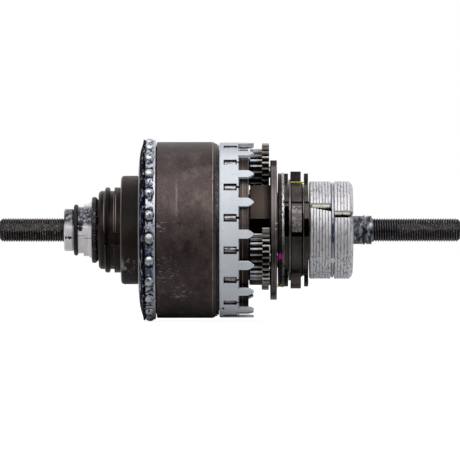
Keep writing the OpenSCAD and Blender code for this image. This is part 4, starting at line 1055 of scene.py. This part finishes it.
class HUB_OT_drive_rings(bpy.types.Operator):
    """Finishes the rings between the carrier and the brake, with paint mark and grease"""

    bl_idname = "hub.drive_rings"
    bl_label = "Drive rings"

    def execute(self, context):
        colours = context.scene.hub_colours
        # A blackened and a bright ring, dirty, with a spot of marking paint over both
        for name, node, tone, roughness in (
            ("Blackened thrust ring steel", "carrier_thrust_ring", "#3a3431", 0.42),
            ("Bright turned ring steel", "carrier_bright_ring", "#d4d0d1", 0.3),
        ):
            steel = worked_steel(name, tone, worn="#b5b0ae", roughness=roughness, cloud=2.0)
            # Painted shade: darker low down
            steel.lay("#1c1819", steel.band("height", -26.0, -5.0, 2.0), 0.75)
            dirt = steel.grain((0.6, 1.6, 1.6), 4.0, 44.0, 0.5, 0.58)
            steel.lay("#2a2728", dirt, 0.8, Roughness=0.6)
            mark = steel.spot((19.8, -20.1, -10.6), 2.3, 0.6)
            steel.lay(colours.paint, mark, Roughness=0.5, Metallic=0.0)
            steel.put_on(node)
        # Hardened rings with wide lugs: black steel, grey where the lugs have rubbed.
        # reach is how far the rubbing goes, bottom is the tone of the painted shade low down,
        # black is how high the painted shade in the ring's gap reaches, and gap_r is the radius
        # that bounds it.
        for place, shift, reach, bottom, black, gap_r in (
            ("left", 3.0, 4.0, "#131111", 9.4, 23.0),
            ("middle", 13.0, 9.5, "#433c3b", 0.2, 19.3),
            ("right", 23.0, 4.6, "#131111", 4.6, 23.0),
        ):
            steel = worked_steel(
                f"Rubbed drive ring steel, {place}",
                colours.drive_ring,
                deep=0.4,
                worn="#98918c",
                cloud=4.0,
            )
            rubbed = steel.grain((0.9, 1.0, 1.0), 5.0, shift, 0.4, 0.75)
            steel.lay("#a09a99", rubbed, steel.spot((26.5, -23.0, 4.5), reach, 0.3), Roughness=0.5)
            for left in (24.1, 28.5):
                steel.lay("#0a0909", steel.band("along", left, left + 0.4, 0.1), Roughness=0.6)
            # Painted shade: darker on the lugs low down
            steel.lay(bottom, steel.band("height", -26.0, -17.6, 0.4), Roughness=0.5)
            gap = steel.band("radius", 10.0, gap_r)
            facing = steel.both(steel.band("across", -30.0, -5.0), gap)
            for low, high in ((-2.6, black), (10.6, 11.3)):
                steel.lay("#060505", facing, steel.band("height", low, high, 0.2), Roughness=0.7)
            steel.put_on(f"brake_drive_ring_{place}")
        # Spacer ring: ground steel with a film of oil
        worked_steel("Oiled spacer steel", "#7b7673", roughness=0.34).put_on("brake_spacer_ring")
        # Spring wire, bare: thin and light, with yellow grease near the top
        steel = worked_steel("Bare friction wire", "#8f8b88", worn=None, roughness=0.36)
        coated = steel.spot((29.2, -4.0, 17.6), 4.5)
        steel.lay(colours.wire_grease, coated, Roughness=0.3, Metallic=0.0)
        steel.put_on("friction_ring")
        # Yellow assembly grease, pressed out in thin strands: wet and bright
        grease = Finish(
            "Yellow assembly grease", Base_Color=colours.wire_grease, Roughness=0.25, IOR=1.46
        )
        grease.lay("#6d6a3a", grease.grain(0.8, shift=7.0, low=0.5, high=0.65))
        # Blobs, then the box that holds them, as grease_piece takes it
        for name, count, *box in (
            ("lug_root_grease", 70, (2.6, 3.4), (23.7, 29.5), (18.9, 19.2)),
            ("lug_root_drop", 14, (3.0, 5.5), (23.5, 24.0), (17.6, 19.0)),
            ("thrust_ring_grease", 26, (160, 172), (18.9, 20.9), (22.5, 23.0)),
        ):
            grease_piece(name, "planet_carrier", grease, *box, (0.16, 0.3), count, seed=5)
        return {"FINISHED"}


# Place along the axle of the spring's groove in the shoes
GROOVE_PLACE = 40.8


class HUB_OT_brake(bpy.types.Operator):
    """Finishes the brake shoes, their spring, and the cam and rollers under them"""

    bl_idname = "hub.brake"
    bl_label = "Brake"

    def execute(self, context):
        for i in range(1, 4):
            # Plated shoe steel, ridged: silver crests, grey valleys, dark oily streaks
            steel = worked_steel(
                f"Plated ridged shoe steel {i}",
                context.scene.hub_colours.shoe,
                deep=0.85,
                worn=None,
                roughness=0.5,
                cloud=2.5,
                Metallic=0.7,
            )
            steel.lay("#7c7b84", steel.band("radius", 19.2, 19.37, 0.05), Roughness=0.5)
            # Grey oil lies in long streaks down the ridges, and a pale grey cloud lies low down
            for tone, *streaks in (
                ("#7d808c", (0.9, 3.6, 3.6), 3.0, 4.0 + 9 * i, 0.54, 0.72),
                ("#4b4d59", (0.45, 2.4, 2.4), 4.0, 7.0 + 5 * i, 0.6, 0.72),
            ):
                steel.grease(tone, steel.grain(*streaks))
            cloud = steel.grain(1.6, 4.0, 15.0 + 5 * i, 0.4, 0.56)
            steel.grease("#d6d7dc", steel.band("height", -20.0, -9.5, 1.5), cloud, roughness=0.4)
            # Dark oil speckles near the top and over the lower third
            for low, high in ((-20.0, -8.5), (14.5, 20.0)):
                speck = steel.grain((0.5, 1.3, 1.3), 5.0, low + 40, 0.56, 0.62)
                steel.grease("#5a5d6d", steel.band("height", low, high, 1.5), speck, roughness=0.4)
            # Old cream grease on the slit's side faces and the bore is near white, painted light
            # too, and they are black low down, painted shade. The spring's groove walls are pale
            # grease, painted light in their shade
            bore = steel.band("radius", 10.0, 19.0)
            inside = steel.both(bore, steel.band("along", 31.9, 47.4, 0.3))
            shaded = steel.both(inside, steel.band("height", -20.0, 6.3, 0.1))
            painted_groove_light = steel.both(
                steel.band("radius", 16.0, 19.1, 0.1),
                steel.band("along", GROOVE_PLACE - 1.2, GROOVE_PLACE + 1.2, 0.1),
            )
            for mask, tone in ((inside, "#faf6e2"), (shaded, "#070707"), (painted_groove_light, "#e6e6f2")):
                steel.lay(tone, mask, Roughness=0.8, Metallic=0.0)
            steel.put_on(f"brake_shoe_{i}")
        # Spring steel wire in its groove: blue grey, wet with grease
        steel = worked_steel(
            "Greasy shoe spring wire", "#d6d6dc", deep=0.6, worn=None, roughness=0.45, cloud=3.0
        )
        wet = steel.grain((1.2, 1.6, 1.6), shift=6.0, low=0.35, high=0.5)
        steel.grease("#39405a", steel.spot((GROOVE_PLACE, -18.8, -1.5), 8.0), wet)
        cream = steel.spot((GROOVE_PLACE, -14.4, -12.3), 1.6, 0.4)
        steel.lay("#d8d2b4", cream, Roughness=0.4, Metallic=0.0)
        steel.put_on("brake_shoe_spring")
        # Old grease that fills the slit between two shoes: cream, dull and dusty
        grease = Finish("Old cream grease", Base_Color=linear("#ebe8e2"), Roughness=0.5, IOR=1.46)
        grease.lay("#d3d1c8", grease.grain(2.2, shift=7.0, low=0.5, high=0.7))
        # The shoe that it clings to, blobs and their box
        for name, shoe, count, *box in (
            ("slit_grease_left", 3, 150, (57.6, 59.4), (33.0, 39.4), (17.9, 18.3)),
            ("slit_grease_right", 3, 120, (67.6, 69.6), (41.9, 47.4), (17.8, 18.2)),
            ("groove_drop", 1, 26, (127.5, 134), (40.3, 41.5), (18.7, 18.9)),
        ):
            grease_piece(name, f"brake_shoe_{shoe}", grease, *box, (0.35, 0.5), count, seed=9)
        # Hardened cam and rollers: grey and smooth
        worked_steel("Hardened brake cam steel", "#7c7670", roughness=0.36).put_on(
            "brake_cam", "brake_roller_cage", *(f"brake_roller_{i}" for i in range(1, 4))
        )
        return {"FINISHED"}


# Stage, in metres: the object fills the frame's width, 184 mm on 460 pixels at the axle
CAMERA_DISTANCE = 2.2
VIEW_WIDTH = 0.184
SENSOR = 36.0
FLOOR_REACH = 4.0
SOFT_BOX_PLACE = Vector((-0.1, -0.75, 0.95))
SOFT_BOX_SIZE = (1.9, 1.4)
SOFT_BOX_WATTS = 13.0


def make_floor(scene):
    """A matt white board under the object."""
    low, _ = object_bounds()
    mesh = bpy.data.meshes.new("studio_floor")
    corners = [(-1, -1), (1, -1), (1, 1), (-1, 1)]
    mesh.from_pydata(
        [(x * FLOOR_REACH, y * FLOOR_REACH, low.z) for x, y in corners], [], [(0, 1, 2, 3)]
    )
    floor = bpy.data.objects.new("studio_floor", mesh)
    scene.collection.objects.link(floor)
    # It keeps a soft shadow and shows white to the camera, and the board before the
    # object is dim, which the object's lower half shows
    board = Finish("Matt white board", Roughness=0.9)
    glow = board.add("ShaderNodeEmission", {"Strength": 1.25})
    to_camera = board.add("ShaderNodeLightPath").outputs["Is Camera Ray"]
    _, across, _ = board.position()
    near = board.add("ShaderNodeMapRange", (across, -75, -15, 0.18, 0.75))
    light = board.add("ShaderNodeMix", {0: to_camera, 2: near, 3: 0.9})
    board.tree.links.new(light.outputs[0], board.shader.inputs["Base Color"])
    share = board.both(to_camera, 0.72)
    shown = board.add("ShaderNodeMixShader", (share, board.shader, glow))
    board.tree.links.new(shown.outputs[0], board.end.inputs["Surface"])
    mesh.materials.append(board.material)
    floor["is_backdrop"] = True


def make_world(scene):
    """A white backdrop behind the object, and a dimmer room before it."""
    world = bpy.data.worlds.new("Studio")
    scene.world = world
    world.use_nodes = True
    world.node_tree.nodes.clear()
    put = partial(add, world.node_tree)
    facing = put("ShaderNodeTexCoord").outputs["Generated"]
    _, away, up = put("ShaderNodeSeparateXYZ", (facing,)).outputs
    behind = put("ShaderNodeMapRange", (away, 0.0, 0.5))
    room = put("ShaderNodeMapRange", (up, -0.3, 0.6, 0.12, 0.6))
    ray = put("ShaderNodeLightPath").outputs
    mirrored = put("ShaderNodeMapRange", (ray["Is Glossy Ray"], 0.0, 1.0, 0.25))
    share = put("ShaderNodeMath", (behind, mirrored), operation="MULTIPLY")
    lit = put("ShaderNodeMix", {0: share, 2: room, 3: 1.0})
    shown = put("ShaderNodeMix", {0: ray["Is Camera Ray"], 2: lit, 3: 1.0})
    sky = put("ShaderNodeBackground", {"Color": (1, 1, 1, 1), "Strength": shown})
    put("ShaderNodeOutputWorld", {"Surface": sky})


class HUB_OT_stage(bpy.types.Operator):
    """Makes the floor, the studio light and the camera"""

    bl_idname = "hub.stage"
    bl_label = "Stage"

    def execute(self, context):
        scene = context.scene
        make_floor(scene)
        make_world(scene)
        light = bpy.data.lights.new("Soft box", "AREA")
        light.shape = "RECTANGLE"
        light.size, light.size_y = SOFT_BOX_SIZE
        light.energy = SOFT_BOX_WATTS
        lamp = bpy.data.objects.new("Soft box", light)
        lamp.location = SOFT_BOX_PLACE
        lamp.rotation_euler = (-SOFT_BOX_PLACE).to_track_quat("-Z", "Y").to_euler()
        scene.collection.objects.link(lamp)
        view = bpy.data.cameras.new("Photo view")
        view.sensor_width = SENSOR
        view.lens = SENSOR * CAMERA_DISTANCE / VIEW_WIDTH
        view.clip_start, view.clip_end = 0.1, 20
        camera = bpy.data.objects.new("Photo view", view)
        camera.location = (0, -CAMERA_DISTANCE, 0)
        camera.rotation_euler = (math.radians(90), 0, 0)
        scene.collection.objects.link(camera)
        scene.camera = camera
        scene.view_settings.view_transform = "Standard"
        return {"FINISHED"}


OPERATORS = (
    HUB_OT_axle,
    HUB_OT_cone,
    HUB_OT_driver,
    HUB_OT_ball_bearing,
    HUB_OT_drum,
    HUB_OT_roller_clutch,
    HUB_OT_planet_gears,
    HUB_OT_drive_rings,
    HUB_OT_brake,
    HUB_OT_stage,
)


class HUB_PT_panel(bpy.types.Panel):
    """Lists the hub's pieces, sizes and colours"""

    bl_idname = "HUB_PT_panel"
    bl_label = "Coaster brake hub"
    bl_space_type = "VIEW_3D"
    bl_region_type = "UI"
    bl_category = "Hub"

    def draw(self, context):
        for operator in OPERATORS:
            self.layout.operator(operator.bl_idname)
        for group in (context.scene.hub_sizes, context.scene.hub_colours):
            for name in group.bl_rna.properties.keys():
                if name not in ("rna_type", "name"):
                    self.layout.prop(group, name)


CLASSES = (HubSizes, HubColours, *OPERATORS, HUB_PT_panel)


def register():
    for each in CLASSES:
        bpy.utils.register_class(each)
    bpy.types.Scene.hub_sizes = PointerProperty(type=HubSizes)
    bpy.types.Scene.hub_colours = PointerProperty(type=HubColours)


def unregister():
    del bpy.types.Scene.hub_colours
    del bpy.types.Scene.hub_sizes
    for each in reversed(CLASSES):
        bpy.utils.unregister_class(each)


def main():
    """Makes every piece in order."""
    register()
    bpy.ops.hub.axle()
    bpy.ops.hub.cone()
    bpy.ops.hub.driver()
    bpy.ops.hub.ball_bearing()
    bpy.ops.hub.drum()
    bpy.ops.hub.roller_clutch()
    bpy.ops.hub.planet_gears()
    bpy.ops.hub.drive_rings()
    bpy.ops.hub.brake()
    bpy.ops.hub.stage()


if __name__ == "__main__":
    main()
